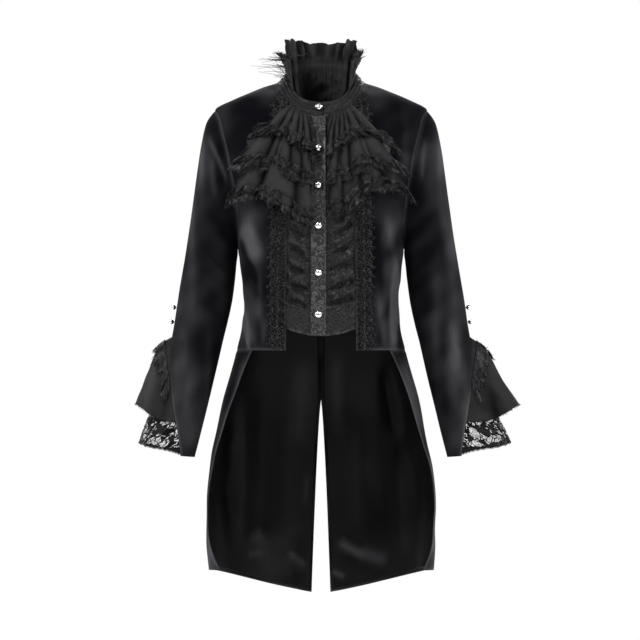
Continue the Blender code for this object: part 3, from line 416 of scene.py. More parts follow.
BACK_FOLDS = {
    -1: (
        (-0.15, -0.26, -0.085, -0.36, 0.012, -0.0035), (-0.145, -0.3, -0.07, -0.41, 0.01, 0.003),
        (-0.03, -0.3, -0.055, -0.42, 0.01, -0.0025), (-0.165, -0.11, -0.12, -0.2, 0.015, -0.0025),
        (-0.12, -0.05, -0.15, -0.14, 0.012, 0.002), (-0.105, -0.38, -0.115, -0.44, 0.009, -0.0022),
    ),
    1: (
        (0.148, -0.255, 0.09, -0.345, 0.012, -0.0032), (0.146, -0.31, 0.075, -0.4, 0.011, 0.003),
        (0.028, -0.29, 0.06, -0.425, 0.01, -0.0028), (0.162, -0.115, 0.118, -0.19, 0.014, -0.0025),
        (0.122, -0.055, 0.15, -0.15, 0.012, 0.002), (0.112, -0.385, 0.12, -0.44, 0.008, 0.002),
    ),
}
SLEEVE_FOLDS = (
    (0.152, -0.275, 0.215, -0.215, 0.008, -0.0018), (0.15, -0.3, 0.205, -0.262, 0.008, 0.0014),
    (0.155, -0.345, 0.21, -0.29, 0.007, -0.0014), (0.16, -0.385, 0.22, -0.335, 0.008, 0.0012),
    (0.166, -0.42, 0.232, -0.372, 0.007, -0.0012), (0.205, -0.33, 0.222, -0.44, 0.01, 0.0022),
    (0.245, -0.45, 0.262, -0.5, 0.01, -0.0022), (0.215, -0.47, 0.245, -0.6, 0.012, 0.0022),
    (0.238, -0.48, 0.262, -0.61, 0.009, -0.002), (0.19, -0.06, 0.205, -0.17, 0.012, 0.002),
    (0.176, -0.09, 0.18, -0.2, 0.01, -0.0026),
)
RIGHT_SLEEVE_FOLDS = 0.9
TAIL_FOLDS = {
    -1: (
        (-0.165, -0.62, -0.172, -0.78, 0.026, 0.005), (-0.14, -0.52, -0.15, -0.86, 0.014, -0.007),
        (-0.095, -0.48, -0.11, -0.88, 0.02, 0.006), (-0.06, -0.54, -0.064, -0.86, 0.014, -0.006),
        (-0.035, -0.43, -0.03, -0.64, 0.014, 0.0045), (-0.124, -0.79, -0.1, -0.91, 0.022, -0.0045),
        (-0.04, -0.78, -0.05, -0.91, 0.014, 0.005), (-0.072, -0.84, -0.022, -0.868, 0.009, -0.003),
    ),
    1: (
        (0.112, -0.48, 0.14, -0.64, 0.012, -0.008), (0.14, -0.64, 0.16, -0.85, 0.013, -0.007),
        (0.086, -0.5, 0.108, -0.86, 0.02, 0.0065), (0.058, -0.56, 0.07, -0.8, 0.014, -0.0055),
        (0.034, -0.44, 0.034, -0.62, 0.014, 0.0045), (0.03, -0.815, 0.078, -0.84, 0.009, -0.0055),
        (0.03, -0.832, 0.126, -0.872, 0.014, 0.004), (0.175, -0.64, 0.185, -0.8, 0.024, 0.0045),
    ),
}
FRILL_FOLDS = (
    (-0.032, -0.02, 0.008, 0.014, 0.0032, -0.006), (-0.02, -0.026, 0.024, 0.006, 0.003, 0.005),
    (-0.004, -0.024, 0.034, -0.006, 0.0034, -0.006), (-0.036, 0.012, -0.014, 0.02, 0.003, 0.004),
    (0.012, 0.02, 0.036, 0.01, 0.003, -0.004),
)
VEST_FOLDS = {
    -1: (
        (-0.058, -0.268, -0.022, -0.298, 0.005, 0.003), (-0.058, -0.29, -0.03, -0.308, 0.0045, -0.0035),
        (-0.058, -0.312, -0.02, -0.33, 0.0042, 0.003), (-0.056, -0.328, -0.03, -0.336, 0.004, -0.0032),
        (-0.058, -0.341, -0.022, -0.356, 0.0046, 0.003), (-0.056, -0.357, -0.024, -0.368, 0.0042, -0.0035),
        (-0.058, -0.366, -0.02, -0.388, 0.0048, 0.0032), (-0.058, -0.384, -0.022, -0.398, 0.0034, -0.0032),
        (-0.055, -0.24, -0.024, -0.256, 0.005, 0.0026), (-0.056, -0.256, -0.03, -0.274, 0.0042, -0.0028),
    ),
    1: (
        (0.058, -0.258, 0.024, -0.288, 0.0052, 0.003), (0.058, -0.28, 0.026, -0.304, 0.004, -0.0034),
        (0.058, -0.3, 0.02, -0.316, 0.0044, 0.0026), (0.058, -0.32, 0.012, -0.332, 0.0036, -0.0034),
        (0.06, -0.332, 0.016, -0.352, 0.0052, 0.0032), (0.06, -0.35, 0.014, -0.366, 0.0036, -0.003),
        (0.06, -0.362, 0.02, -0.38, 0.005, 0.0032), (0.06, -0.38, 0.012, -0.392, 0.0036, -0.0034),
        (0.056, -0.232, 0.022, -0.262, 0.005, 0.0024), (0.056, -0.246, 0.03, -0.272, 0.004, -0.0026),
    ),
}
# Painted sheen and painted shade on the velvet, paler or darker where the lights fall on it: x, z, half
# width, half height and how much
FRONT_PAINTED_LIGHT = {
    -1: (
        (-0.13, -0.252, 0.018, 0.055, 0.58), (-0.118, -0.31, 0.018, 0.05, 0.42),
        (-0.128, -0.415, 0.022, 0.045, 0.22), (-0.141, -0.42, 0.006, 0.06, 0.35),
        (-0.095, -0.01, 0.04, 0.01, 0.55), (-0.171, -0.07, 0.01, 0.03, 0.15),
        (-0.13, -0.085, 0.05, 0.045, -0.22), (-0.125, -0.17, 0.04, 0.035, -0.18),
    ),
    1: (
        (0.128, -0.258, 0.018, 0.036, 0.48), (0.131, -0.395, 0.007, 0.075, 0.9),
        (0.112, -0.37, 0.016, 0.06, 0.36), (0.146, -0.33, 0.006, 0.06, 0.35),
        (0.095, -0.01, 0.04, 0.01, 0.55), (0.15, -0.11, 0.008, 0.05, 0.25),
        (0.12, -0.075, 0.04, 0.045, -0.2), (0.125, -0.17, 0.04, 0.035, -0.15),
    ),
}
BACK_PAINTED_LIGHT = (
    (-0.12, -0.12, 0.05, 0.07, 0.3), (0.11, -0.2, 0.04, 0.08, 0.3), (-0.05, -0.33, 0.04, 0.06, 0.35),
    (0.06, -0.4, 0.05, 0.05, 0.3), (0.095, -0.01, 0.04, 0.01, 0.4), (-0.095, -0.01, 0.04, 0.01, 0.4),
)
SLEEVE_PAINTED_LIGHT = {
    -1: (
        (-0.214, -0.13, 0.008, 0.06, 0.55), (-0.232, -0.25, 0.008, 0.08, 0.4),
        (-0.247, -0.5, 0.018, 0.09, 0.48), (-0.262, -0.56, 0.01, 0.04, 0.3),
        (-0.225, -0.62, 0.03, 0.04, 0.3), (-0.2, -0.52, 0.008, 0.09, 0.22),
    ),
    1: (
        (0.214, -0.13, 0.008, 0.06, 0.55), (0.236, -0.27, 0.01, 0.09, 0.45),
        (0.198, -0.16, 0.022, 0.06, 0.22), (0.24, -0.48, 0.014, 0.08, 0.55),
        (0.262, -0.59, 0.016, 0.06, 0.6), (0.205, -0.45, 0.01, 0.1, 0.3), (0.23, -0.64, 0.02, 0.03, 0.25),
    ),
}
TAIL_PAINTED_LIGHT = (
    (-0.17, -0.62, 0.02, 0.1, 0.25), (-0.2, -0.84, 0.016, 0.04, 0.6), (0.17, -0.62, 0.02, 0.1, 0.45),
    (0.205, -0.78, 0.012, 0.09, 0.55), (0.06, -0.7, 0.05, 0.15, 0.25), (-0.07, -0.76, 0.05, 0.12, 0.25),
)
# Narrow strokes of painted highlight or painted shade on the velvet and the flounces, as folds are given,
# and of painted highlight and shade on the satin
FRONT_PAINTED_STROKES = {
    -1: (
        (-0.142, -0.235, -0.104, -0.325, 0.011, 0.3), (-0.146, -0.262, -0.112, -0.366, 0.006, -0.6),
        (-0.15, -0.35, -0.124, -0.47, 0.008, 0.45), (-0.134, -0.4, -0.128, -0.485, 0.003, 0.8),
        (-0.112, -0.33, -0.108, -0.43, 0.006, 0.3),
    ),
    1: (
        (0.114, -0.222, 0.129, -0.305, 0.009, 0.28), (0.134, -0.3, 0.125, -0.48, 0.0045, 0.9),
        (0.1, -0.37, 0.117, -0.48, 0.006, 0.35), (0.09, -0.24, 0.114, -0.4, 0.009, -0.35),
    ),
}
SLEEVE_PAINTED_STROKES = {
    -1: (
        (-0.203, -0.085, -0.163, -0.18, 0.004, 0.6), (-0.196, -0.11, -0.19, -0.21, 0.006, 0.3),
        (-0.222, -0.3, -0.236, -0.44, 0.01, 0.25),
    ),
    1: (
        (0.186, -0.09, 0.178, -0.18, 0.005, 0.4), (0.214, -0.2, 0.232, -0.33, 0.008, 0.25),
        (0.228, -0.4, 0.246, -0.54, 0.01, 0.25),
    ),
}
TAIL_PAINTED_STROKES = {
    -1: ((-0.132, -0.47, -0.168, -0.59, 0.007, 0.35), (-0.196, -0.82, -0.182, -0.866, 0.006, 0.6)),
    1: ((0.14, -0.47, 0.186, -0.64, 0.008, 0.6), (0.196, -0.68, 0.2, -0.86, 0.005, 0.6)),
}
SATIN_PAINTED_STROKES = {
    -1: (
        (-0.03, -0.47, -0.04, -0.66, 0.02, 0.6), (-0.1, -0.79, -0.08, -0.9, 0.03, 0.25),
        (-0.064, -0.836, -0.024, -0.866, 0.006, 0.55), (-0.136, -0.846, -0.104, -0.838, 0.006, 0.4),
        (-0.17, -0.56, -0.166, -0.84, 0.012, -0.2), (-0.024, -0.69, -0.03, -0.76, 0.005, 0.3),
    ),
    1: (
        (0.026, -0.46, 0.032, -0.64, 0.012, 0.55), (0.026, -0.816, 0.084, -0.85, 0.007, 0.9),
        (0.062, -0.838, 0.126, -0.856, 0.012, 0.6), (0.016, -0.872, 0.046, -0.886, 0.005, 0.9),
        (0.112, -0.47, 0.142, -0.7, 0.01, -0.2), (0.06, -0.48, 0.09, -0.76, 0.022, 0.15),
    ),
}
FLOUNCE_PAINTED_SHADE = {
    -1: ((-0.264, -0.5, -0.292, -0.64, 0.008, -0.4), (-0.3, -0.48, -0.312, -0.6, 0.014, 0.2)),
    1: ((0.286, -0.42, 0.32, -0.64, 0.05, -0.22), (0.3, -0.52, 0.322, -0.64, 0.008, -0.25)),
}

# Buttons, camera and floor. Lights: place, width and height, and whose power they have
BUTTON_WELD, BUTTON_LEVELS = 1e-6, 2
CAMERA_X, CAMERA_SENSOR, CAMERA_FARTHEST = -0.0018, 36.0, 60.0
FLOOR_RADIUS, FLOOR_GREY = 4.0, 0.9
COAT_MIDDLE = Vector((0, 0, -0.35))
LIGHTS = {
    "key": ((-1.7, -2.3, 2.2), (1.2, 1.6), "key"), "fill": ((2.4, -2.2, 1.0), (1.0, 2.0), "fill"),
    "side_left": ((-2.8, 1.0, 0.2), (1.4, 2.6), "side"), "side_right": ((2.8, 1.0, 0.2), (1.4, 2.6), "side"),
    "back": ((0.0, 3.2, 1.4), (2.4, 1.6), "back"),
}


# ------------------------------------------------------------------ forms


def between(one, two, share):
    """Value a share of the way from one to another."""
    return one + (two - one) * share


def smooth(keys, values, at):
    """Monotone curve through values at rising keys, read at an array of places."""
    keys, values, at = np.asarray(keys, float), np.asarray(values, float), np.asarray(at, float)
    steps = np.diff(keys)
    slopes = np.diff(values) / steps
    before, after = slopes[:-1], slopes[1:]
    turning = before * after > 0
    total = np.where(turning, before + after, 1.0)
    middle = np.where(turning, 2 * before * after / total, 0.0)
    tangents = np.concatenate([slopes[:1], middle, slopes[-1:]])
    at = np.clip(at, keys[0], keys[-1])
    low = np.clip(np.searchsorted(keys, at, side="right") - 1, 0, len(steps) - 1)
    step = steps[low]
    t = (at - keys[low]) / step
    return (
        values[low] * (1 + 2 * t) * (1 - t) ** 2
        + values[low + 1] * t * t * (3 - 2 * t)
        + tangents[low] * step * t * (1 - t) ** 2
        - tangents[low + 1] * step * t * t * (1 - t)
    )


def read(table, z, column):
    """Smoothly read one column of a table whose first column is a falling height."""
    rows = np.array(table, float)[::-1]
    return smooth(rows[:, 0], rows[:, column], z)


def eased(t):
    """Number from 0 to 1 with a soft start and end."""
    t = np.clip(t, 0.0, 1.0)
    return t * t * (3 - 2 * t)


def bell(distance, width):
    """1 at a distance of 0, fading out over a width."""
    return np.exp(-((distance / width) ** 2))


def rounded(value, power=2 / SQUARENESS):
    """Power of a number that keeps its sign."""
    return np.sign(value) * np.abs(value) ** power


def body(angle, z, side=1):
    """Points of the coat's body at angles and heights."""
    angle, z = np.broadcast_arrays(np.asarray(angle, float), np.asarray(z, float))
    turn = np.radians(angle)
    depth = np.where(np.abs(angle) <= 90, read(SECTIONS, z, 2), read(SECTIONS, z, 3))
    x = side * read(SECTIONS, z, 1) * rounded(np.sin(turn))
    return np.stack([x, -depth * rounded(np.cos(turn)), z], axis=-1)


def angle_at(x, z, back=False, half=None):
    """Angle where the body at height z, or a ring of a given half width, is x from the centre."""
    half = read(SECTIONS, z, 1) if half is None else half
    angle = np.degrees(np.arcsin(np.minimum(1.0, np.abs(x) / half) ** (SQUARENESS / 2)))
    return 180 - angle if back else np.copysign(angle, x)


def neckline(x):
    """Height of the front neckline at a distance from the centre."""
    return between(NECK_FRONT_Z, NECK_POINT_Z, (np.abs(x) / NECK_HALF) ** NECK_CURVE)


def crowded(count, crowd=0.7):
    """Numbers from 0 to 1, closer together near both ends, where an edge rolls."""
    t = np.linspace(0, 1, count + 1)
    return t - crowd * np.sin(2 * np.pi * t) / (2 * np.pi)


def grid(ends, columns, rows):
    """Places across a grid, from one end to the other, and down it, from 0 to 1."""
    return np.meshgrid(np.linspace(*ends, columns), np.linspace(0, 1, rows), indexing="xy")


def patch(left, right, top, bottom, across, down):
    """Angles and heights of a panel from its four edges."""
    u, v = across[None, :, None], down[:, None, None]
    return (
        (1 - v) * top[None] + v * bottom[None] + (1 - u) * left[:, None] + u * right[:, None]
        - (1 - u) * (1 - v) * left[0] - u * (1 - v) * right[0]
        - (1 - u) * v * left[-1] - u * v * right[-1]
    )


def lengths(points, axis=0):
    """Distances along one axis of a line or grid of points."""
    steps = np.linalg.norm(np.diff(points, axis=axis), axis=-1)
    start = np.zeros_like(np.take(points[..., 0], [0], axis=axis))
    return np.concatenate([start, np.cumsum(steps, axis=axis)], axis=axis)


def unit(vectors):
    """The same directions with a length of 1."""
    return vectors / np.maximum(np.linalg.norm(vectors, axis=-1, keepdims=True), 1e-12)


def crossed(points):
    """Directions square to a grid of points, each as long as its cell's area."""
    return np.cross(np.gradient(points, axis=1), np.gradient(points, axis=0))


def outward(points, axis):
    """Directions square to a grid of points, away from an axis (a point for each)."""
    facing = unit(crossed(points))
    return -facing if np.sum(facing * (points - axis)) < 0 else facing


def moved(points, axis, stand):
    """Points moved out from an axis by how far each stands out."""
    return points + outward(points, axis) * stand[..., None]


def upright_axis(points):
    """Points of the coat's upright axis at the heights of a grid."""
    return points * (0, 0, 1)


def folded(points, folds, soft=0.3):
    """How far each point stands out for a table of folds, which fade in towards both ends."""
    out = np.zeros(points.shape[:2])
    x, z = points[..., 0], points[..., 2]
    for start_x, start_z, end_x, end_z, width, height in folds:
        run_x, run_z = end_x - start_x, end_z - start_z
        share = ((x - start_x) * run_x + (z - start_z) * run_z) / (run_x ** 2 + run_z ** 2)
        share = np.clip(share, 0, 1)
        away = np.hypot(x - start_x - run_x * share, z - start_z - run_z * share)
        out += height * eased(np.minimum(share, 1 - share) / soft) * bell(away, width)
    return out


def uneven(points, swell, variant=0):
    """Slow random swell of a cloth, from the table of swells."""
    size, height, seed = SWELLS[swell]
    rng = np.random.default_rng(seed + variant)
    out = np.zeros(points.shape[:2])
    waves = 5
    for _ in range(waves):
        direction = rng.normal(size=3)
        direction *= 2 * np.pi / size / np.linalg.norm(direction) * rng.uniform(0.6, 1.4)
        out += np.sin(points @ direction + rng.uniform(0, 2 * np.pi))
    return out * height / waves


def painted_velvet_light(points, patches, stand, roll, strokes=(), edge_sheen=EDGE_SHEEN):
    """How pale the velvet's nap looks: patches, strokes, ridges against hollows, and worn seam edges."""
    x, z = points[..., 0], points[..., 2]
    pale = VELVET_LIGHT_LEVEL + PAINTED_FOLD_SHADE * np.tanh(stand / PAINTED_FOLD_DEPTH) + edge_sheen * np.abs(roll) / SEAM_ROLL
    pale = pale + folded(points, strokes)
    for centre_x, centre_z, wide, high, amount in patches:
        pale = pale + amount * bell(x - centre_x, wide) * bell(z - centre_z, high)
    return np.clip(pale + uneven(points, "nap"), 0.0, 1.0)


def rolled(points, edges):
    """How far a seam's edge rolls in, near the named edges of a grid."""
    across, down = lengths(points, 1), lengths(points)
    near = {
        "left": across, "right": across[:, -1:] - across, "top": down, "bottom": down[-1:] - down,
    }
    return -SEAM_ROLL * np.maximum.reduce([bell(near[edge], SEAM_ROLL_WIDTH) for edge in edges])


def raised(stand, size, low=0.12):
    """Share from 0 in a hollow to 1 on a ridge."""
    return np.clip(between(low, 1, 0.5 + 0.5 * np.tanh(stand / size)), 0, 1)


def wave(length, name, variant=0):
    """Random curve along an array of lengths, from the table of waves."""
    size, height, seed = WAVES[name]
    rng = np.random.default_rng(seed + variant)
    count = int(math.ceil(float(np.max(length)) / size)) + 3
    return height * smooth(np.arange(count) * size, rng.uniform(-1, 1, count), length)


def pleated(length, name, variant=0):
    """Uneven gathers along a length: rounded ridges with narrow valleys, from 0 to 1."""
    pitch, seed = GATHERS[name]
    rng = np.random.default_rng(seed + variant)
    total = float(np.max(length))
    count = max(2, round(total / pitch))
    widths = rng.uniform(0.55, 1.5, count)
    valleys = np.concatenate([[0], np.cumsum(widths)]) * total / widths.sum()
    heights = rng.uniform(0.5, 1.0, count)
    return humps(valleys, heights, length, 0.8)


def humps(valleys, heights, at, power):
    """Height at each place of ridges that lie between valleys."""
    index = np.clip(np.searchsorted(valleys, at, side="right") - 1, 0, len(valleys) - 2)
    t = (at - valleys[index]) / (valleys[index + 1] - valleys[index])
    return heights[index] * np.sin(np.pi * np.clip(t, 0, 1)) ** power


# ------------------------------------------------------------------ meshes


def new_object(name, data):
    """A new object in the scene."""
    piece = bpy.data.objects.new(name, data)
    bpy.context.scene.collection.objects.link(piece)
    return piece


def new_mesh(name, mesh):
    """Mesh data from a bmesh, which is freed."""
    data = bpy.data.meshes.new(name)
    mesh.to_mesh(data)
    mesh.free()
    return data


def finish_piece(piece, material, nodes=()):
    """Give a piece its material, its body and the solids that it stands for."""
    piece.data.materials.append(material)
    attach(piece, "root")
    if nodes:
        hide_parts(*nodes)
    return piece


def cloth(paints, kind, node, points, axis, nap=None, laid=None, stands=True, ending=""):
    """A thin shell that stands for its node, with a grid of points as its outer face. Its UV map is in
    metres along the cloth, or along the unfolded grid that it was laid out on."""
    thickness, look, slot, held, backing = CLOTHS[kind]
    name = f"{node}_{slot}{ending}"
    rows, columns = points.shape[0] - 1, points.shape[1] - 1
    mesh = bmesh.new()
    bmesh.ops.create_grid(mesh, x_segments=columns, y_segments=rows, size=0.5)
    data = new_mesh(name, mesh)
    flat = np.empty(len(data.vertices) * 3)
    data.vertices.foreach_get("co", flat)
    flat = flat.reshape(-1, 3)
    i = np.rint((flat[:, 0] + 0.5) * columns).astype(int)
    j = np.rint((0.5 - flat[:, 1]) * rows).astype(int)
    data.vertices.foreach_set("co", points[j, i].ravel())
    source = points if laid is None else laid
    corners = np.empty(len(data.loops), int)
    data.loops.foreach_get("vertex_index", corners)
    uv = np.stack([lengths(source, 1)[j, i], lengths(source)[j, i]], axis=1)
    data.uv_layers.new(name="Cloth").data.foreach_set("uv", uv[corners].ravel())
    # Per-point share of painted light and painted shade, with some random tone, that the materials read
    if nap is not None:
        data.attributes.new("Nap", "FLOAT", "POINT").data.foreach_set("value", nap[j, i])
    facing = crossed(points)
    if np.sum(facing * (points - axis)) > 0:
        data.flip_normals()
    data.shade_smooth()
    data.update()
    piece = new_object(name, data)
    wall = piece.modifiers.new("Wall", "SOLIDIFY")
    wall.thickness = thickness
    wall.offset = -1
    finish_piece(piece, paints[look], [node] if stands else ())
    if backing:
        data.materials.append(paints[backing])
        wall.material_offset = 1
    return piece


def cords(paints, look, name, lines, radius, closed=False, taper=False, nodes=()):
    """Thin round cords or threads along lines, as one mesh."""
    curve = bpy.data.curves.new(name, "CURVE")
    curve.dimensions = "3D"
    curve.bevel_depth = radius
    curve.bevel_resolution = 0
    curve.use_fill_caps = True
    for line in lines:
        spline = curve.splines.new("POLY")
        spline.points.add(len(line) - 1)
        spline.points.foreach_set("co", np.concatenate([line, np.ones((len(line), 1))], axis=1).ravel())
        spline.use_cyclic_u = closed
        if taper:
            spline.points.foreach_set("radius", np.linspace(1.0, THREAD_TAPER, len(line)))
    strand = bpy.data.objects.new(name, curve)
    data = bpy.data.meshes.new_from_object(strand)
    bpy.data.objects.remove(strand)
    bpy.data.curves.remove(curve)
    data.name = name
    data.shade_smooth()
    data.materials.clear()
    return finish_piece(new_object(name, data), paints[look], nodes)


def fray(paints, look, name, edge, away, out, reach, count, seed, radius=THREAD, curl=0.5):
    """Loose threads along a raw edge."""
    rng = np.random.default_rng(seed)
    lines = []
    for _ in range(count):
        at = rng.integers(0, len(edge) - 1)
        share = rng.uniform()
        start = edge[at] * (1 - share) + edge[at + 1] * share
        side = unit(edge[at + 1] - edge[at])
        run = away[at] + side * rng.normal(0, THREAD_SIDEWAYS) + out[at] * rng.normal(0, THREAD_OUTWARDS)
        run = unit(run)
        bend = side * rng.normal(0, curl) + out[at] * rng.normal(0, 0.8 * curl)
        size = reach * rng.uniform(THREAD_LEAST, 1.0) ** 1.4
        steps = np.linspace(-0.15, 1, THREAD_POINTS)[:, None]
        line = start + run * size * steps + bend * size * steps ** 2 * np.sign(steps)
        line[:, 1] = np.maximum(line[:, 1], FRONT_LIMIT - 0.001)
        lines.append(line)
    return cords(paints, look, name, lines, radius, taper=True)


def sampled(values, at, places):
    """Rows of three numbers that are known at rising places, read at others."""
    return np.stack([np.interp(at, places, values[:, k]) for k in range(3)], axis=1)


def resampled(line, step):
    """A line with points a fixed distance apart, and the distances along it."""
    length = lengths(line)
    at = np.linspace(0, length[-1], max(8, int(length[-1] / step)))
    return sampled(line, at, length), at


def lace_edging(paints, node, edge, away, out, width, seed, crumple=1.0, stands=False, ending=""):
    """Crumpled lace gathered along an edge, with loops and threads at its own edge."""
    line, at = resampled(edge, EDGING_STEP)
    place, source = np.linspace(0, 1, len(line)), np.linspace(0, 1, len(edge))
    away, out = sampled(unit(away), place, source), sampled(out, place, source)
    along = unit(np.gradient(line, axis=0))
    wide = width * (EDGING_MEAN + wave(at, "edging width", seed) + wave(at, "edging scallop", seed))
    waves = wave(at, "edging", seed) + wave(at, "edging small", seed)
    sway = wave(at, "edging sway", seed)
    rows = []
    for v in np.linspace(0, 1, EDGING_ROWS):
        curl = crumple * (waves * eased(v * 1.6) + wave(at, "edging curl", seed + int(10 * v)) * v)
        rows.append(line - away * EDGING_UNDER * (1 - v) + away * (wide * v)[:, None]
                    + out * (curl + EDGING_OUT)[:, None] + along * (crumple * sway * v)[:, None])
    points = np.array(rows)
    points[..., 1] = np.maximum(points[..., 1], FRONT_LIMIT)
    drop = np.linspace(0, 1, EDGING_ROWS)[:, None] * wide[None]
    laid = np.stack([np.broadcast_to(at, drop.shape), 0 * drop, drop], axis=-1)
    piece = cloth(paints, "edging", node, points, points - out[None], laid=laid, stands=stands,
                  ending=ending)
    fray(paints, "trim_cord", piece.name + "_threads", points[-1], away, out, EDGING_REACH,
         int(at[-1] * EDGING_THREADS), seed + 20, EDGING_THREAD, 1.0)


# ------------------------------------------------------------------ materials


class Paint:
    """A node material with a Principled shader, and short ways to add nodes to it."""

    def __init__(self, name, colour, roughness, **sockets):
        self.colour = tuple(colour)
        self.material = bpy.data.materials.new("coat_" + name)
        self.material.use_nodes = True
        self.tree = self.material.node_tree
        self.shader = self.tree.nodes["Principled BSDF"]
        self.look(Base_Color=(*self.colour, 1.0), Roughness=roughness, **sockets)

    def put(self, socket, value):
        """Link a socket to another one, or set its value."""
        if isinstance(value, bpy.types.NodeSocket):
            self.tree.links.new(value, socket)
        else:
            socket.default_value = value

    def look(self, **sockets):
        """Put values on the shader's own sockets."""
        for socket, value in sockets.items():
            self.put(self.shader.inputs[socket.replace("_", " ")], value)

    def node(self, kind, operation=None, **inputs):
        """New node with its inputs by name, or by number as _0, _1 and so on."""
        node = self.tree.nodes.new("ShaderNode" + kind)
        if operation:
            node.operation = operation
        for socket, value in inputs.items():
            self.put(node.inputs[int(socket[1:]) if socket[1:].isdigit() else socket], value)
        return node

    def math(self, operation, one, two=0.0, three=0.0):
        """Result of a sum."""
        return self.node("Math", operation, _0=one, _1=two, _2=three).outputs[0]

    def line(self, value, slope, start):
        """Value times a slope, plus a start."""
        return self.math("MULTIPLY_ADD", value, slope, start)

    def scaled(self, source, scale):
        """Coordinates times a scale: Object or UV coordinates are in metres."""
        return self.node("Mapping", Vector=source, Scale=scale).outputs[0]

    def objects(self):
        """Coordinates in the coat's own space."""
        return self.node("TexCoord").outputs["Object"]

    def cloth(self):
        """Coordinates along the cloth."""
        return self.node("TexCoord").outputs["UV"]

    def nap(self):
        """The cloth's own share of pale nap, ridge or light."""
        node = self.node("Attribute")
        node.attribute_name = "Nap"
        return node.outputs["Fac"]

    def noise(self, coordinates, scale, detail=2.0, roughness=0.5, distortion=0.0):
        """Smooth noise from 0 to 1."""
        return self.node("TexNoise", Vector=coordinates, Scale=scale, Detail=detail,
                         Roughness=roughness, Distortion=distortion).outputs["Fac"]

    def cells(self, coordinates, scale, feature="F1"):
        """Distance to the middle or the edge of random cells."""
        node = self.node("TexVoronoi", Vector=coordinates, Scale=scale)
        node.feature = feature
        return node.outputs["Distance"]

    def bent(self, along, scale, reach):
        """Coordinates pushed about by a noise."""
        bend = self.node("TexNoise", Vector=along, Scale=scale, Detail=1.0).outputs["Color"]
        return self.node("VectorMath", "MULTIPLY_ADD", _0=bend, _1=(reach, reach, 0), _2=along).outputs[0]

    def ramp(self, value, black, white):
        """Colour ramp from black to white."""
        node = self.node("ValToRGB", Fac=value)
        for element, place, grey in zip(node.color_ramp.elements, (black, white), (0, 1)):
            element.position = place
            element.color = (grey, grey, grey, 1)
        return node.outputs["Color"]

    def mix(self, share, one, two):
        """A share of the way from one colour to another."""
        node = self.tree.nodes.new("ShaderNodeMix")
        node.data_type = "RGBA"
        self.put(node.inputs["Factor"], share)
        self.put(node.inputs[6], one)
        self.put(node.inputs[7], two)
        return node.outputs[2]

    def shade(self, share, low, high):
        """From the paint's colour times one factor to its colour times another."""
        one, two = ((*(float(c) for c in np.multiply(self.colour, factor)), 1) for factor in (low, high))
        return self.mix(share, one, two)

    def bump(self, height, distance, strength=1.0, below=None):
        """Give the surface relief, over any relief below it."""
        node = self.node("Bump", Height=height, Distance=distance, Strength=strength)
        if below is not None:
            self.put(node.inputs["Normal"], below)
        self.look(Normal=node.outputs[0])
        return node.outputs[0]

    def see_through(self, mask):
        """Let light through where the mask is 0."""
        clear = self.node("BsdfTransparent").outputs[0]
        mix = self.node("MixShader", Fac=mask, _1=clear, _2=self.shader.outputs[0])
        self.put(self.tree.nodes["Material Output"].inputs[0], mix.outputs[0])


def velvet(colour):
    """Silk velvet: dark, with a cool nap that is paler where it is brushed up."""
    paint = Paint("velvet", colour, 0.85, Sheen_Weight=0.5, Sheen_Roughness=0.30,
                  Sheen_Tint=(0.046, 0.046, 0.060, 1.0), Specular_IOR_Level=0.02)
    place = paint.objects()
    cloud = paint.noise(paint.scaled(place, (24, 24, 14)), 1.0, 4.0, 0.6, 0.8)
    painted_share = paint.math("POWER", paint.nap(), 1.4)
    pale = paint.math("MULTIPLY", painted_share, paint.line(cloud, 1.1, 0.45))
    # Base colour from the velvet's own colour to 22 times it where sheen is painted
    paint.look(Base_Color=paint.shade(pale, 1.0, (22.0, 23.0, 17.0)))
    below = paint.bump(paint.noise(place, 260.0, 3.0, 0.7), 0.0006, 0.35)
    paint.bump(paint.noise(place, 1900.0), 0.0003, 0.6, below)
    return paint.material


def backing(colour):
    """Plain matte wrong side of the cloth."""
    paint = Paint("backing", colour, 0.95, Specular_IOR_Level=0.1)
    paint.bump(paint.noise(paint.objects(), 900.0), 0.0002, 0.4)
    return paint.material


def satin(colour):
    """Satin lining: dark, with soft highlights along the folds."""
    paint = Paint("satin", colour, 0.34, Specular_IOR_Level=0.045)
    place = paint.objects()
    cloud = paint.noise(place, 14.0, 3.0)
    # Base colour from 0.3 to 8 times the satin's colour by its painted highlights and shade
    paint.look(Roughness=paint.line(cloud, 0.22, 0.27), Base_Color=paint.shade(paint.nap(), 0.3, 8.0))
    crinkle = paint.noise(paint.scaled(place, (26, 26, 9)), 1.0, 3.0, 0.55, 0.4)
    below = paint.bump(crinkle, 0.006, 0.22)
    paint.bump(paint.noise(place, 1500.0, 1.0), 0.0002, 0.25, below)
    return paint.material


def chiffon(colour):
    """Fine crinkled chiffon, matte and a little warm."""
    paint = Paint("chiffon", colour, 0.88, Sheen_Weight=0.10, Sheen_Roughness=0.5,
                  Sheen_Tint=(0.155, 0.155, 0.165, 1.0), Specular_IOR_Level=0.04)
    along = paint.cloth()
    cloud = paint.noise(paint.objects(), 60.0, 3.0)
    pale = paint.math("MULTIPLY", paint.nap(), paint.line(cloud, 0.8, 0.6))
    # Base colour darker in painted shade and paler in painted highlight
    paint.look(Base_Color=paint.shade(pale, 0.18, 2.0))
    crepe = paint.noise(paint.scaled(along, (420, 110, 1)), 1.0, 3.0, 0.6)
    below = paint.bump(crepe, 0.0008, 0.5)
    paint.bump(paint.noise(along, 1700.0, 1.0), 0.0002, 0.5, below)
    return paint.material


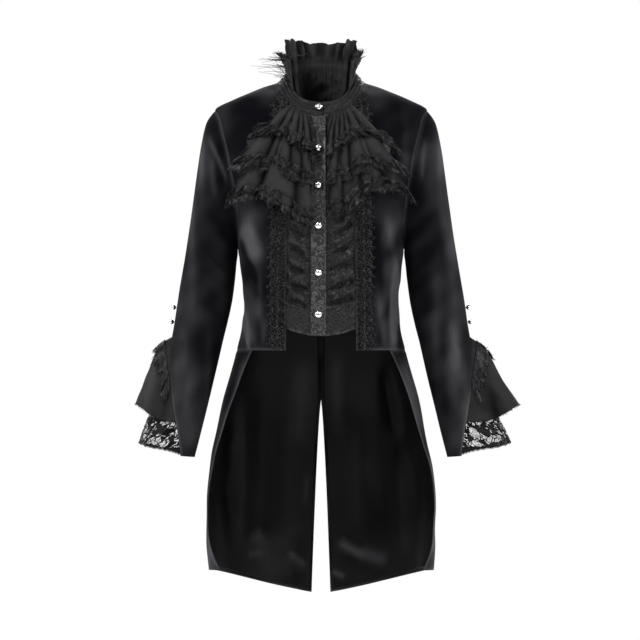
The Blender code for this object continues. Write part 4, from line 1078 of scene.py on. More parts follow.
def lace(colour):
    """Floral lace: solid flowers and leaves on a fine open net."""
    paint = Paint("lace", colour, 0.6, Specular_IOR_Level=0.12)
    along = paint.cloth()
    shifted = paint.bent(along, 70.0, 0.016)
    petals = paint.cells(along, 240.0)
    bloom = paint.math("LESS_THAN", paint.line(petals, 0.20, paint.cells(shifted, 68.0)), 0.54)
    vine = paint.math("LESS_THAN", paint.cells(shifted, 58.0, "DISTANCE_TO_EDGE"), 0.045)
    thread = paint.math("LESS_THAN", paint.cells(along, 400.0, "DISTANCE_TO_EDGE"), 0.030)
    figure = paint.math("MAXIMUM", bloom, vine)
    drop = paint.node("SeparateXYZ", Vector=along).outputs["Y"]
    border = paint.math("GREATER_THAN", paint.line(petals, -0.010, drop), LACE_BORDER)
    paint.bump(figure, 0.0006, 0.8)
    paint.see_through(paint.math("MAXIMUM", paint.math("MAXIMUM", figure, border), thread))
    return paint.material


def ruffle_lace(colour):
    """Crumpled gathered lace, mostly closed."""
    paint = Paint("ruffle_lace", colour, 0.5, Sheen_Weight=0.10, Sheen_Roughness=0.5,
                  Sheen_Tint=(0.16, 0.16, 0.22, 1.0), Specular_IOR_Level=0.15)
    along = paint.cloth()
    net = paint.cells(paint.scaled(along, (1, 1.4, 1)), 330.0, "DISTANCE_TO_EDGE")
    knots = paint.noise(along, 260.0)
    clump = paint.ramp(paint.noise(along, 120.0), 0.42, 0.66)
    paint.look(Base_Color=paint.shade(clump, 0.25, 5.5))
    paint.bump(knots, 0.0016, 0.9)
    paint.see_through(paint.math("MAXIMUM", paint.math("LESS_THAN", net, 0.20),
                                 paint.math("GREATER_THAN", knots, 0.52)))
    return paint.material


def trim_cord(colour):
    """Twisted glossy cord of the braid."""
    paint = Paint("trim_cord", colour, 0.36, Specular_IOR_Level=0.14)
    place = paint.objects()
    painted_glints = paint.ramp(paint.noise(place, 330.0, 1.0), 0.46, 0.66)
    # Painted glints: base colour up to 9 times brighter in random specks
    paint.look(Base_Color=paint.shade(painted_glints, 0.30, 9.0))
    paint.bump(paint.noise(place, 900.0), 0.0005, 0.8)
    return paint.material


def brocade(colour):
    """Black on black brocade: fine satin scrolls on a matte ground, paler on its ridges."""
    paint = Paint("brocade", colour, 0.5, Specular_IOR_Level=0.16)
    along = paint.cloth()
    rings = paint.cells(paint.bent(along, 88.0, 0.024), 52.0)
    scroll = paint.line(paint.math("SINE", paint.math("MULTIPLY", rings, 23.0)), 0.5, 0.5)
    figure = paint.ramp(scroll, 0.50, 0.92)
    # Painted light: ground and scrolls from darker in hollows to paler on ridges
    ridge = paint.line(paint.nap(), 0.85, 0.15)
    paint.look(Base_Color=paint.mix(figure, paint.shade(ridge, 0.25, 2.0), paint.shade(ridge, 0.4, 7.2)),
               Roughness=paint.line(figure, -0.34, 0.70))
    below = paint.bump(figure, 0.0005, 0.6)
    paint.bump(paint.noise(paint.scaled(along, (2600, 900, 1)), 1.0, 1.0), 0.0002, 0.4, below)
    return paint.material


def silver(colour):
    """Polished button metal with faint handling marks."""
    paint = Paint("silver", colour, 0.16, Metallic=1.0)
    place = paint.objects()
    paint.look(Roughness=paint.line(paint.noise(place, 320.0, 3.0), 0.22, 0.06))
    paint.bump(paint.noise(place, 700.0), 0.0001, 0.3)
    return paint.material


LACE_PAINTS = (lace, ruffle_lace, trim_cord)
PAINTS = (velvet, backing, satin, chiffon, brocade, silver, *LACE_PAINTS)


def finishes(context):
    """The coat's materials, made once."""
    paints = {}
    for make in PAINTS:
        name = make.__name__
        colour = "lace_colour" if make in LACE_PAINTS else name + "_colour"
        made = bpy.data.materials.get("coat_" + name)
        paints[name] = made or make(getattr(context.scene.tailcoat_looks, colour))
    return paints


# ------------------------------------------------------------------ body and sleeves


def outer_edge(back):
    """Shoulder seam, armhole and side seam of a front or back, as angles and heights."""
    shoulder = between(NECK_POINT_Z, SHOULDER_Z, crowded(SHOULDER_STEPS, 0))
    armhole = between(SHOULDER_Z, UNDERARM_Z, crowded(ARMHOLE_STEPS, 0))
    side = between(UNDERARM_Z, FRONT_HEM_Z, crowded(SIDE_STEPS, 0))
    seam = angle_at(read(ARMHOLE, armhole, 2 if back else 1), armhole, back)
    heights = np.concatenate([shoulder[:-1], armhole, side[1:]])
    angles = np.concatenate([np.full(SHOULDER_STEPS, 90.0), seam, np.full(SIDE_STEPS, 90.0)])
    return np.stack([angles, heights], axis=1)


def waist_height(angle):
    """Height of the waist seam, level on the front and rising to the centre back."""
    return FRONT_HEM_Z + WAIST_SEAM_RISE * np.sin(np.radians(np.maximum(angle, 90) - 90))


def panel_points(side, back):
    """Outer face of a velvet front or back, before its folds."""
    right = outer_edge(back)
    down = (NECK_POINT_Z - right[:, 1]) / (NECK_POINT_Z - FRONT_HEM_Z)
    if back:
        across = crowded(BACK_COLUMNS)
        angles = 180 - 90 * across
        left = (np.full_like(down, 180.0), between(NECK_BACK_Z, FRONT_HEM_Z + WAIST_SEAM_RISE, down))
        top = (angles, between(NECK_BACK_Z, NECK_POINT_Z, across))
        bottom = (angles, waist_height(angles))
    else:
        across = crowded(FRONT_COLUMNS)
        inner_z = between(neckline(FRONT_INNER_X), FRONT_HEM_Z, down)
        left = (angle_at(between(FRONT_INNER_X, FRONT_CORNER_X, down), inner_z), inner_z)
        top_x = between(FRONT_INNER_X, NECK_HALF, across)
        top = (angle_at(top_x, neckline(top_x)), neckline(top_x))
        bottom = (between(left[0][-1], 90, across), np.full_like(across, FRONT_HEM_Z))
    left, top, bottom = (np.stack(edge, axis=1) for edge in (left, top, bottom))
    panel = patch(left, right, top, bottom, across, down)
    return body(panel[..., 0], panel[..., 1], side)


def make_bodies(paints):
    """Velvet fronts and backs."""
    for side, letter in SIDES:
        for half, folds, patches, strokes, edge_sheen in (
            ("front", FRONT_FOLDS[side], FRONT_PAINTED_LIGHT[side], FRONT_PAINTED_STROKES[side], FRONT_EDGE_SHEEN),
            ("back", BACK_FOLDS[side], BACK_PAINTED_LIGHT, (), EDGE_SHEEN),
        ):
            points = panel_points(side, half == "back")
            axis = upright_axis(points)
            stand = folded(points, folds) + uneven(points, "body", side)
            roll = rolled(points, ("left", "right", "top", "bottom"))
            # Painted sheen, painted shade in hollows and painted highlight on rolled edges
            nap = painted_velvet_light(points, patches, stand, roll, strokes, edge_sheen)
            points = moved(points, axis, stand + roll)
            if half == "back":
                points[:, 0, 0] = 0
            cloth(paints, "velvet", f"{half}_{letter}", points, axis, nap)


def ring(t, column):
    """Smoothly read one column of the sleeve's rings at places between them."""
    return smooth(np.arange(len(SLEEVE)), [row[column] for row in SLEEVE], t)


def ring_points(side, front, t, share):
    """Points of half a sleeve: t counts rings, share goes from the inner to the outer edge."""
    inner_x, inner_z, outer_x, outer_z, depth, middle_y, cut = (ring(t, k) for k in range(7))
    turn = np.radians(cut * share)
    x = (inner_x + outer_x) / 2 - (outer_x - inner_x) / 2 * np.cos(turn)
    z = (inner_z + outer_z) / 2 - (outer_z - inner_z) / 2 * np.cos(turn)
    y = middle_y + (-depth if front else depth) * np.sin(turn)
    return np.stack([side * x, y, z], axis=-1)


def sleeve_points(side, front, t, share):
    """The rings' points, with the first ring moved on to the body's armhole."""
    middle, reach = (SHOULDER_Z + UNDERARM_Z) / 2, (SHOULDER_Z - UNDERARM_Z) / 2
    sewn_z = middle - reach * np.cos(np.pi * share)
    sewn = body(angle_at(read(ARMHOLE, sewn_z, 1 if front else 2), sewn_z, not front), sewn_z, side)
    fade = smooth(np.arange(len(ARMHOLE_FADE)), ARMHOLE_FADE, t)
    first = ring_points(side, front, 0 * t, share)
    return ring_points(side, front, t, share) + (sewn - first) * fade[..., None]


def sleeve_axis(t, side):
    """Middle of the sleeve at places between its rings."""
    x, z = (ring(t, 0) + ring(t, 2)) / 2, (ring(t, 1) + ring(t, 3)) / 2
    return np.stack([side * x, ring(t, 5), z], axis=-1)


def make_sleeves(paints):
    """Front and back halves of both sleeves, cut away along the slit."""
    rings = (len(SLEEVE) - 1) * crowded(SLEEVE_ROWS, 0.5)
    t, share = np.meshgrid(rings, crowded(SLEEVE_COLUMNS), indexing="ij")
    for side, letter in SIDES:
        height = 1 if side < 0 else RIGHT_SLEEVE_FOLDS
        folds = np.multiply(SLEEVE_FOLDS, (side, 1, side, 1, 1, height))
        for front, half in ((True, "front"), (False, "back")):
            points, axis = sleeve_points(side, front, t, share), sleeve_axis(t, side)
            fade = eased(t / 1.5) * np.minimum(1, 0.3 + 2.6 * np.minimum(share, 1 - share))
            stand = (folded(points, folds) + uneven(points, "sleeve", side + front)) * fade
            roll = rolled(points, ("left", "right", "top"))
            # Painted sheen, painted shade in hollows and painted highlight on rolled edges
            nap = painted_velvet_light(points, SLEEVE_PAINTED_LIGHT[side], 0.7 * stand, roll, SLEEVE_PAINTED_STROKES[side] if front else ())
            points = moved(points, axis, stand + roll)
            tucked = points[0] + np.array([-side * ARMHOLE_TUCK, 0, 0])
            tucked = between(tucked, axis[0], ARMHOLE_TUCK_IN)
            points = np.concatenate([tucked[None], points])
            axis, nap = np.concatenate([axis[:1], axis]), np.concatenate([nap[:1], nap])
            cloth(paints, "velvet", f"sleeve_{half}_{letter}", points, axis,
                  nap)


def tail_angles():
    """Angles and heights of a tail, from the centre back to its front edge."""
    u, v = np.meshgrid(crowded(TAIL_COLUMNS, 0.6), crowded(TAIL_ROWS, 0.4), indexing="xy")
    top_z = waist_height(between(180, TAIL_FRONT_ANGLE, u))
    centre_z = between(waist_height(180.0), TAIL_TIP_Z, v)
    vent = np.maximum(0.0, (VENT_TOP_Z - centre_z) / (VENT_TOP_Z - TAIL_TIP_Z))
    start = angle_at(VENT_HALF * vent ** VENT_ROUND, centre_z, back=True)
    angle = between(start, read(TAIL_EDGE, between(FRONT_HEM_Z, TAIL_CORNER_Z, v), 1), u)
    low = between(TAIL_TIP_Z, TAIL_CORNER_Z, np.sin(np.radians(np.maximum(90.0, angle))))
    return angle, between(top_z, low, v)


def tail_stand(points, side):
    """How far a tail stands out: it hangs loose below the waist."""
    loose = eased((LOOSE_FROM_Z - points[..., 2]) / LOOSE_OVER)
    return (folded(points, TAIL_FOLDS[side]) + uneven(points, "tail", side)) * loose


def make_tails(paints):
    """Velvet tails and their satin linings, with the same folds."""
    for side, letter in SIDES:
        base = body(*tail_angles(), side)
        axis = upright_axis(base)
        stand = tail_stand(base, side)
        # Painted sheen, painted shade in hollows and painted highlight on rolled edges
        nap = painted_velvet_light(base, TAIL_PAINTED_LIGHT, stand, rolled(base, ("top", "right", "bottom")), TAIL_PAINTED_STROKES[side])
        points = moved(base, axis, stand + rolled(base, ("top",)))
        cloth(paints, "lined velvet", f"tail_{letter}", points, axis, nap)
        across, down = lengths(base, 1), lengths(base)
        inset_u = LINING_INSET * (1 - 2 * across / across[:, -1:])
        inset_v = -LINING_INSET * down / down[-1:]
        lined = base + unit(np.gradient(base, axis=1)) * inset_u[..., None]
        lined = lined + unit(np.gradient(base, axis=0)) * inset_v[..., None]
        depth = tail_stand(lined, side) - VELVET - LINING_GAP
        roll = rolled(base, ("left", "right", "bottom")) / 2
        lined = lined + outward(base, axis) * (depth + roll)[..., None]
        # Painted highlight and painted shade on the satin, by its folds and strokes
        satin_painted_light = SATIN_LEVEL + SATIN_FOLD_SHADE * np.tanh(-depth / SATIN_DEPTH)
        satin_painted_light = satin_painted_light + folded(lined, SATIN_PAINTED_STROKES[side])
        cloth(paints, "satin", f"tail_lining_{letter}", lined, axis,
              np.clip(satin_painted_light, 0, 1))


# ------------------------------------------------------------------ waistcoat, placket and neckband


def vest_hem(x):
    """Height of the waistcoat's curved hem."""
    return VEST_HEM_Z + VEST_HEM_RISE * (x / FRONT_INNER_X) ** 2


def make_waistcoat(paints):
    """Ruched brocade fronts and the placket that carries the buttons."""
    share = crowded(VEST_ROWS, 0.3)[:, None]
    top = neckline(FRONT_INNER_X)
    for side, letter in SIDES:
        across = crowded(VEST_COLUMNS, 0.5)[None, :]
        x = between(side * BUTTON_X, FRONT_INNER_X, across)
        z = between(neckline(x), vest_hem(x), share)
        down = np.maximum(0.0, (top - z) / (top - FRONT_HEM_Z))
        wide = x + (FRONT_CORNER_X - FRONT_INNER_X) * down * across
        points = body(angle_at(wide, z), z, side)
        free = eased((np.abs(points[..., 0] - BUTTON_X) - PLACKET_HALF + PLACKET_OVERLAP) / PLACKET_CLEAR)
        flat_hem = eased((vest_hem(x) + VEST_FLAT - z) / VEST_FLAT_FADE)
        stand = VEST_FOLD_HEIGHT * folded(points, VEST_FOLDS[side], 0.12) + uneven(points, "vest", side)
        stand += uneven(points, "vest small", side)
        stand = np.clip(stand, -VEST_DEEPEST, VEST_DEEPEST) * (1 - 0.9 * flat_hem)
        from_hem = z - vest_hem(x) - PIPING
        stand = (stand - VEST_BEHIND + PIPING_HEIGHT * bell(from_hem, PIPING)) * free
        # Painted light: ruching ridges lighter and hollows darker, a level for the flat band, and a painted
        # highlight along the piping
        nap = VEST_RIDGE_LIGHT * raised(stand - VEST_RELIEF_FROM, VEST_RELIEF, 0.0)
        nap = between(nap, VEST_FLAT_LIGHT, flat_hem) + PIPING_HIGHLIGHT * bell(from_hem, PIPING_PALE)
        laid = np.stack([points[..., 0], 0 * z, z], axis=-1)
        axis = upright_axis(points)
        points = moved(points, axis, stand)
        cloth(paints, "brocade", f"vest_{letter}", points, axis,
              np.clip(nap, 0, 1), laid)
    offset = (crowded(PLACKET_COLUMNS, 0.6)[None, :] * 2 - 1) * PLACKET_HALF
    x = BUTTON_X + offset
    z = between(neckline(x), vest_hem(x), share)
    points = body(angle_at(x, z), z)
    axis = upright_axis(points)
    edge = bell(PLACKET_HALF - np.abs(offset) - PIPING, PIPING_PALE)
    stand = BROCADE + 2 * SEAM + PLACKET_EDGE * edge + uneven(points, "placket")
    points = moved(points, axis, stand)
    # Painted light: the placket is painted as lit, with painted highlights along its edges
    nap = np.clip(PLACKET_LIGHT + 0.5 * edge + uneven(points, "placket nap"), 0, 1)
    cloth(paints, "brocade", "placket", points, axis, nap)


def turned(around):
    """Angles all round as angles from -180 to 180."""
    return (around + 180) % 360 - 180


def neck_points(around):
    """Points of the neckline at angles from the centre front, all round."""
    angle = np.abs(turned(around))
    x = NECK_HALF * rounded(np.sin(np.radians(np.minimum(angle, 180 - angle))))
    back_z = between(NECK_POINT_Z, NECK_BACK_Z, (angle - 90) / 90)
    z = np.where(angle > 90, back_z, neckline(x))
    points = body(np.where(angle > 90, angle, angle_at(x, z)), z)
    points[..., 0] *= np.where(turned(around) < 0, -1.0, 1.0)
    return points


def collar_edge(around, half, front_y, back_y, z):
    """A level ring round the neck, or one with its own heights, at angles from the centre front."""
    turn = np.radians(turned(around))
    y = np.where(np.cos(turn) > 0, front_y, back_y) * np.abs(rounded(np.cos(turn)))
    return np.stack([half * rounded(np.sin(turn)), y, np.broadcast_to(z, y.shape)], axis=-1)


def band_top(around):
    """Upper edge of the neckband at angles from the centre front, all round."""
    angle = np.abs(turned(around))
    front_z = between(BAND_TOP_FRONT_Z, BAND_TOP_SIDE_Z, (angle / 90) ** 2)
    back_z = between(BAND_TOP_SIDE_Z, BAND_TOP_BACK_Z, np.sin(np.radians(angle) - np.pi / 2))
    return collar_edge(around, BAND_TOP_HALF, BAND_TOP_FRONT_Y, BAND_TOP_BACK_Y,
                       np.where(angle <= 90, front_z, back_z))


def make_neckband(paints):
    """Brocade neckband with ridges of braid along it, open at the placket."""
    start = float(angle_at(BAND_OPENING_X, 0, half=NECK_HALF)) + BAND_GAP_ANGLE
    around = start + (360 - 2 * BAND_GAP_ANGLE) * np.linspace(0, 1, BAND_COLUMNS + 1)
    share = crowded(BAND_ROWS, 0.4)[:, None, None]
    upper, lower = band_top(around), neck_points(around)
    lower[:, 2] -= BAND_TUCK
    points = upper + (lower - upper) * share
    axis = upright_axis(points)
    ridges = np.abs(np.sin(np.pi * BAND_RIDGES * share[..., 0]))
    stand = BAND_RIDGE * ridges + uneven(points, "band") + rolled(points, ("top",))
    points = moved(points, axis, stand)
    # Painted highlights on the band's ridges and painted shade between them
    nap = np.clip(BAND_RIDGE_LIGHT * ridges ** 2 - BAND_SHADE + uneven(points, "band nap"), 0, 1)
    cloth(paints, "brocade", "neckband", points, axis, nap,
          upper + (lower - upper) * BAND_STRETCH * share)


# ------------------------------------------------------------------ collar


def neck_heading(start, count):
    """Angles round the neck, the band's upper edge there, distances along it and level ways out."""
    around = np.linspace(start, 360 - start, count)
    heading = band_top(around)
    return around, heading, lengths(heading), unit(heading * (1, 1, 0))


def make_collar_frill(paints):
    """Standing gathered frill: its heading is sewn inside the band, its free edge stands up."""
    around, heading, length, out = neck_heading(FRILL_START, FRILL_COLUMNS)
    lobes = FRILL_LOBE * (pleated(length, "frill lobes") - 0.55) + wave(length, "frill edge")
    top = collar_edge(around, FRILL_HALF, FRILL_FRONT_Y, FRILL_BACK_Y, FRILL_TOP_Z + lobes)
    back = eased((np.minimum(around, 360 - around) - FRILL_BACK_ANGLE) / FRILL_BACK_OVER)[:, None]
    inside = heading - out * (BROCADE + FRILL_CLEAR)
    inside = inside - np.array([0, 0, 1]) * between(FRILL_DROP, FRILL_DROP_BACK, back)
    big, small, low = (pleated(length, name) for name in ("frill", "frill small", "frill low"))
    sway = wave(length, "frill sway")
    near_end = between(0.15, 1, eased(np.minimum(length, length[-1] - length) / FRILL_END))
    rows, relief = [], []
    for v in np.linspace(0, 1, FRILL_ROWS):
        if v < FRILL_SEAM:
            w = v / FRILL_SEAM
            base = between(inside, heading - out * FRILL_BEHIND, w)
            gathers = FRILL_LOW_GATHER * low * np.sin(np.pi * w) ** 0.6 * eased(2 * w)
            stand = -FRILL_INSIDE - gathers
            relief.append(gathers)
        else:
            w = (v - FRILL_SEAM) / (1 - FRILL_SEAM)
            base = heading - out * FRILL_BEHIND * (1 - w) + (top - heading) * w
            swung = np.interp(length + sway * w, length, big)
            free = eased((v - FRILL_SEAM) / 0.3)
            stand = (swung - 0.5) * FRILL_GATHER * free * near_end
            stand += wave(length + FRILL_TWIST * w, "frill lean") * w
            stand += small * FRILL_SMALL_GATHER * np.minimum(1, 6 * w) * (1 - 0.6 * w) * near_end
            relief.append(-stand)
        rows.append(base + out * stand[:, None])
    points = np.array(rows)[::-1]
    crumpled = uneven(points, "frill") + folded(points, FRILL_FOLDS, 0.15) * back[None, :, 0]
    hidden = slice(FRILL_INNER_ROW, None)
    within = crumpled[hidden] + uneven(points[hidden], "frill inside")
    crumpled[hidden] = np.minimum(within, FRILL_FORWARD)
    crumpled *= 1 - 0.9 * bell(np.linspace(1, 0, FRILL_ROWS) - FRILL_SEAM, FRILL_PINCH)[:, None]
    points = points + out[None] * crumpled[..., None]
    # Painted shade in the frill's hollows and folds, and painted light on its shaded inside, lifted to three
    # quarters or more
    nap = raised(np.array(relief)[::-1] - crumpled, FRILL_RELIEF, 0.15)
    nap[hidden] = between(0.75, 1, nap[hidden])
    cloth(paints, "chiffon", "collar_frill", points, upright_axis(points), nap)
    fray(paints, "chiffon", "collar_frill_threads", points[0], np.tile([0.0, 0.0, 1.0], (len(out), 1)), out,
         FRILL_FRAY, FRILL_THREADS, FRILL_SEED)


def make_collar_ruffle(paints):
    """Outer ruffle round the sides and the back, with a frayed lace edge."""
    around, heading, length, out = neck_heading(RUFFLE_START, RUFFLE_COLUMNS)
    base = heading + out * RUFFLE_OUT - np.array([0, 0, RUFFLE_DOWN])
    top = collar_edge(around, RUFFLE_HALF, RUFFLE_FRONT_Y, RUFFLE_BACK_Y,
                      RUFFLE_TOP_Z + wave(length, "ruffle edge"))
    share = np.linspace(1, 0, RUFFLE_ROWS)[:, None]
    stand = (pleated(length, "ruffle") - 0.4) * RUFFLE_GATHER * eased(share * 1.3)
    small = pleated(length, "ruffle small") * RUFFLE_SMALL_GATHER
    stand = stand + small * (1 - 0.5 * share) * np.minimum(1, 5 * share)
    points = base + (top - base) * share[..., None] + out * stand[..., None]
    crumpled = uneven(points, "ruffle") * share
    points = points + out * crumpled[..., None]
    # Painted shade in the ruffle's hollows, paler on its gathers
    nap = raised(stand + crumpled, RUFFLE_RELIEF, 0.15)
    cloth(paints, "chiffon", "collar_ruffle", points, upright_axis(points), nap)
    flare = np.where(around < 180, 0.2, 0.9)[:, None]
    lace_edging(paints, "collar_ruffle", points[0], out * flare + (0, 0, 1), out, RUFFLE_LACE,
                RUFFLE_SEED, 0.8)
    left = (around > TUFT_ANGLES[0]) & (around < TUFT_ANGLES[1])
    for row, name, seed, reach in TUFTS:
        fray(paints, "trim_cord", f"collar_ruffle_{name}_threads", points[row, left],
             out[left] + (0, 0, TUFT_UP), out[left], reach, TUFT_THREADS, seed, TUFT_THREAD, TUFT_CURL)


# ------------------------------------------------------------------ jabot


def over_chest(x, z, lift):
    """Points in front of the coat. Past the chest's edge they hang straight on."""
    near = np.minimum(x, WING_START * read(SECTIONS, z, 1))
    step = 0.0015
    across = body(angle_at(near + step, z), z) - body(angle_at(near - step, z), z)
    down = body(angle_at(near, z - step), z - step) - body(angle_at(near, z + step), z + step)
    facing = unit(np.cross(down, across))
    facing = np.where(facing[..., 1:2] > 0, -facing, facing)
    points = body(angle_at(near, z), z) + facing * lift[..., None]
    points[..., 0] += x - near
    return points


def pleat_height(rows, layer, x, z):
    """How far a tier's pleats stand out: they fan from the neck and bend a little on their way."""
    centre_x, centre_z = PLEAT_CENTRE
    away = np.hypot(x - centre_x, z - centre_z)
    fan = np.degrees(np.arctan2(x - centre_x, centre_z - z))
    bend = PLEAT_BEND * np.sin(away / PLEAT_BEND_LENGTH + 2.1 * layer)
    fan = fan + bend * eased(away / PLEAT_BEND_START)
    valleys, heights = np.array(rows, float).T
    return PLEAT_HEIGHT * humps(valleys, heights, np.clip(fan, valleys[0], valleys[-1]), 0.75)


def make_jabot(paints):
    """Three gathered tiers on each side of the placket, each with two rows of lace edging."""
    u, v = grid((0, 1), JABOT_COLUMNS, JABOT_ROWS)
    for side, letter in SIDES:
        for layer, tier in enumerate(JABOT_LACE):
            name = f"{tier}_{letter}"
            lift, outer_x, hem = JABOT[name]
            top_x = between(JABOT_INNER_X[letter], JABOT_OUTER_X, u)
            top_z = neckline(top_x) - JABOT_TUCK
            low_x = between(hem[0][0], outer_x, u ** 1.12)
            x, z = between(top_x, low_x, v), between(top_z, smooth(*zip(*hem), low_x), v)
            reach = np.clip((top_z - z) / JABOT_REACH, 0, 1)
            seam = JABOT_SEAM + JABOT_STEP * layer
            stand = between(seam, lift, np.minimum(1.0, v / JABOT_HANG)) + CHIFFON
            tight = JABOT_GATHER * np.abs(np.sin(np.pi * 11 * u + 3 * layer))
            tight = tight * eased(v * 8) * (1 - eased(v * 2.4))
            ripple = JABOT_RIPPLE * np.sin(2 * np.pi * (4 + layer) * u + 2 * layer + side) * v
            relief = pleat_height(PLEATS[name], layer, x, z) * reach ** 0.6 + tight + ripple
            z = z + wave(u * 0.17, "jabot hem", 7 * layer + side) * v ** 2
            swell = JABOT_SWELL * (uneven(np.stack([x, 0 * x, z], axis=-1), "jabot", layer) + 0.4) * reach
            points = over_chest(x, z, np.maximum(stand + relief + swell, stand))
            points[..., 0] *= side
            highest = np.maximum(0.0010, 0.5 * relief.max(axis=1, keepdims=True))
            axis = upright_axis(points)
            # Painted shade in the pleats' hollows and painted highlight on their crests
            cloth(paints, "chiffon", f"jabot_{name}", points, axis,
                  raised(relief / highest - 0.75, 0.55, 0.0))
            facing = outward(points, axis)
            up = slice(-2, JABOT_FREE_ROW, -2)
            edge = np.concatenate([points[-1], points[up, -1]])
            away = np.concatenate([points[-1] - points[-4], (points[:, -1] - points[:, -4])[up]])
            facing = np.concatenate([facing[-1], facing[up, -1]])
            own, width = 10 * layer + 3 * side, JABOT_LACE[tier]
            lace_edging(paints, f"jabot_{name}", edge, away, facing, width, JABOT_SEED + own)
            away, facing = away[:JABOT_COLUMNS], facing[:JABOT_COLUMNS]
            lace_edging(paints, f"jabot_{name}", points[-5] + facing * JABOT_UPPER_OUT, away, facing,
                        0.8 * width, JABOT_UPPER_SEED + own, ending="_upper")


# ------------------------------------------------------------------ braid


def leaf(centre, across, down, length, width, turn):
    """Closed loop of cord shaped like a leaf, in the plane of two directions."""
    t = np.linspace(0, 2 * np.pi, LEAF_POINTS + 1)[:-1]
    px = length * 0.5 * np.cos(t)
    py = width * 0.5 * np.sin(t) * (1 - 0.35 * np.cos(t))
    c, s = math.cos(turn), math.sin(turn)
    return centre + np.outer(px * c - py * s, across) + np.outer(px * s + py * c, down)


class FrontEdge:
    """The velvet of one front, measured down from the top of its inner edge and across from it."""

    def __init__(self, side):
        panel = panel_points(side, False)
        stand = folded(panel, FRONT_FOLDS[side]) + uneven(panel, "body", side)
        facing = outward(panel, upright_axis(panel))
        self.surface = np.concatenate([panel, facing, stand[..., None]], axis=-1)
        self.across = lengths(panel, 1)
        self.down = lengths(panel[:, 0])

    def place(self, distance, offset, lift=BRAID_LIFT):
        """A point over the velvet."""
        row = float(np.interp(distance, self.down, np.arange(len(self.down))))
        low = int(min(row, len(self.down) - 2))
        found = []
        for index in (low, low + 1):
            column = np.interp(offset, self.across[index], np.arange(self.across.shape[1]))
            left = int(min(column, self.across.shape[1] - 2))
            here = between(self.surface[index, left], self.surface[index, left + 1], column - left)
            found.append(here[:3] + here[3:6] * (here[6] + lift))
        return between(found[0], found[1], row - low)


def braid_loops(edge, distance, wobble):
    """Leaves and picots of one repeat of the braid."""
    half = 0.004
    centre = edge.place(distance, BRAID_MIDDLE)
    down = unit(edge.place(distance + half, BRAID_MIDDLE) - edge.place(distance - half, BRAID_MIDDLE))
    across = unit(edge.place(distance, BRAID_MIDDLE + half) - edge.place(distance, BRAID_MIDDLE - half))
    rows = [(flip, offset, along, length, width, turn + wobble)
            for flip in (-1, 1) for offset, along, length, width, turn in BRAID_LEAVES]
    rows.append((1, 0.0, 0.0, BRAID_EYE, BRAID_EYE, 0.0))
    for flip, number, size in BRAID_PICOTS:
        rim = BRAID_WIDTH - BRAID_MIDDLE if flip > 0 else BRAID_MIDDLE - BRAID_INNER
        offset = rim - BRAID_PICOT_IN + BRAID_PICOT_SWAY * math.cos(number * 2.2)
        rows.append((flip, offset, (number - 0.3) * BRAID_PICOT_STEP, size, size * 0.8, 0.4 * number))
    return [leaf(centre + across * flip * offset + down * along, across * flip, down, length, width, turn)
            for flip, offset, along, length, width, turn in rows]


def make_braids(paints):
    """Scalloped guipure braid beside the waistcoat: a central vein, leaves and picots."""
    for side, letter in SIDES:
        edge = FrontEdge(side)
        total = edge.down[-1]
        count = int(total / BRAID_REPEAT)
        step = total / count
        loops = []
        for k in range(count):
            loops += braid_loops(edge, (k + 0.5) * step, 0.25 * math.sin(2.3 * k + side))
        samples = np.linspace(0.001, total - 0.0015, int(total / VEIN_STEP))
        veins = []
        for offset, swing, phase in BRAID_VEINS:
            swung = swing * np.sin(2 * np.pi * samples / step + phase)
            veins.append(np.array([edge.place(d, offset + w) for d, w in zip(samples, swung)]))
        starts = [(k + 0.5) * GROUND_STEP for k in range(int(total / GROUND_STEP))]
        ground = [np.array([edge.place(d + along, offset, lift) for along, offset, lift in thread])
                  for d in starts if d < total - 0.004 for thread in BRAID_GROUND]
        name = f"braid_{letter}"
        cords(paints, "trim_cord", name + "_loops", loops, BRAID_CORD, closed=True, nodes=[name])
        cords(paints, "trim_cord", name + "_veins", veins, BRAID_CORD * 1.25)
        cords(paints, "backing", name + "_ground", ground, BRAID_CORD * 0.6)


# ------------------------------------------------------------------ cuffs


def slit_edge(share, side, around):
    """Points just under the velvet's edge along the slit, from its top to the flounce's end, on the front
    sleeve where around is below 0 and on the back one elsewhere."""
    place = SLIT_RING + SLIT_START + share * (FLOUNCE_END_RING - SLIT_RING - SLIT_START)
    found = []
    for front in (True, False):
        edge = sleeve_points(side, front, place, np.ones_like(place))
        past = unit(edge - sleeve_points(side, front, place, np.full_like(place, 0.96)))
        inward = unit(sleeve_axis(place, side) - edge)
        found.append(edge - past * SLIT_TUCK + inward * (VELVET + 2 * SEAM))
    return np.where((around < 0)[..., None], *found)


def sleeve_section(z):
    """Middle x and y, half width, half depth and cloth angle of the sleeve at heights."""
    table = [((row[1] + row[3]) / 2, (row[0] + row[2]) / 2, row[5], (row[2] - row[0]) / 2, row[4], row[6])
             for row in SLEEVE]
    return [read(table, z, column) for column in range(1, 6)]


def flounce_points(side, around, share):
    """Points of a flounce: around is -90 at its front end, 0 outermost and 90 at its back end."""
    profile = FLOUNCE[side]
    (top_z, top_x), (hem_z, hem_x) = profile[0], profile[-1]
    end = np.abs(np.sin(np.radians(around))) ** FLOUNCE_ROUND
    seam = slit_edge(np.abs(around) / 90 * SEAM_SHARE, side, around)
    close = slit_edge(np.full_like(end, FLOUNCE_CLOSE), side, around)
    hem = np.stack([np.full_like(end, side * hem_x), seam[..., 1] * (1 - end), np.full_like(end, hem_z)],
                   axis=-1)
    hem = between(hem, close, end[..., None])
    swag = np.sin(np.pi * end)
    hem[..., 2] -= FLOUNCE_SWAG * swag
    hem[..., 1] += np.copysign(FLOUNCE_HALF_DEPTH, around) * swag * FLOUNCE_SPREAD
    bulge = (read(profile, between(top_z, hem_z, share), 1) - between(top_x, hem_x, share)) * (1 - end)
    points = between(seam, hem, share[..., None])
    points[..., 0] += side * bulge
    return points, end


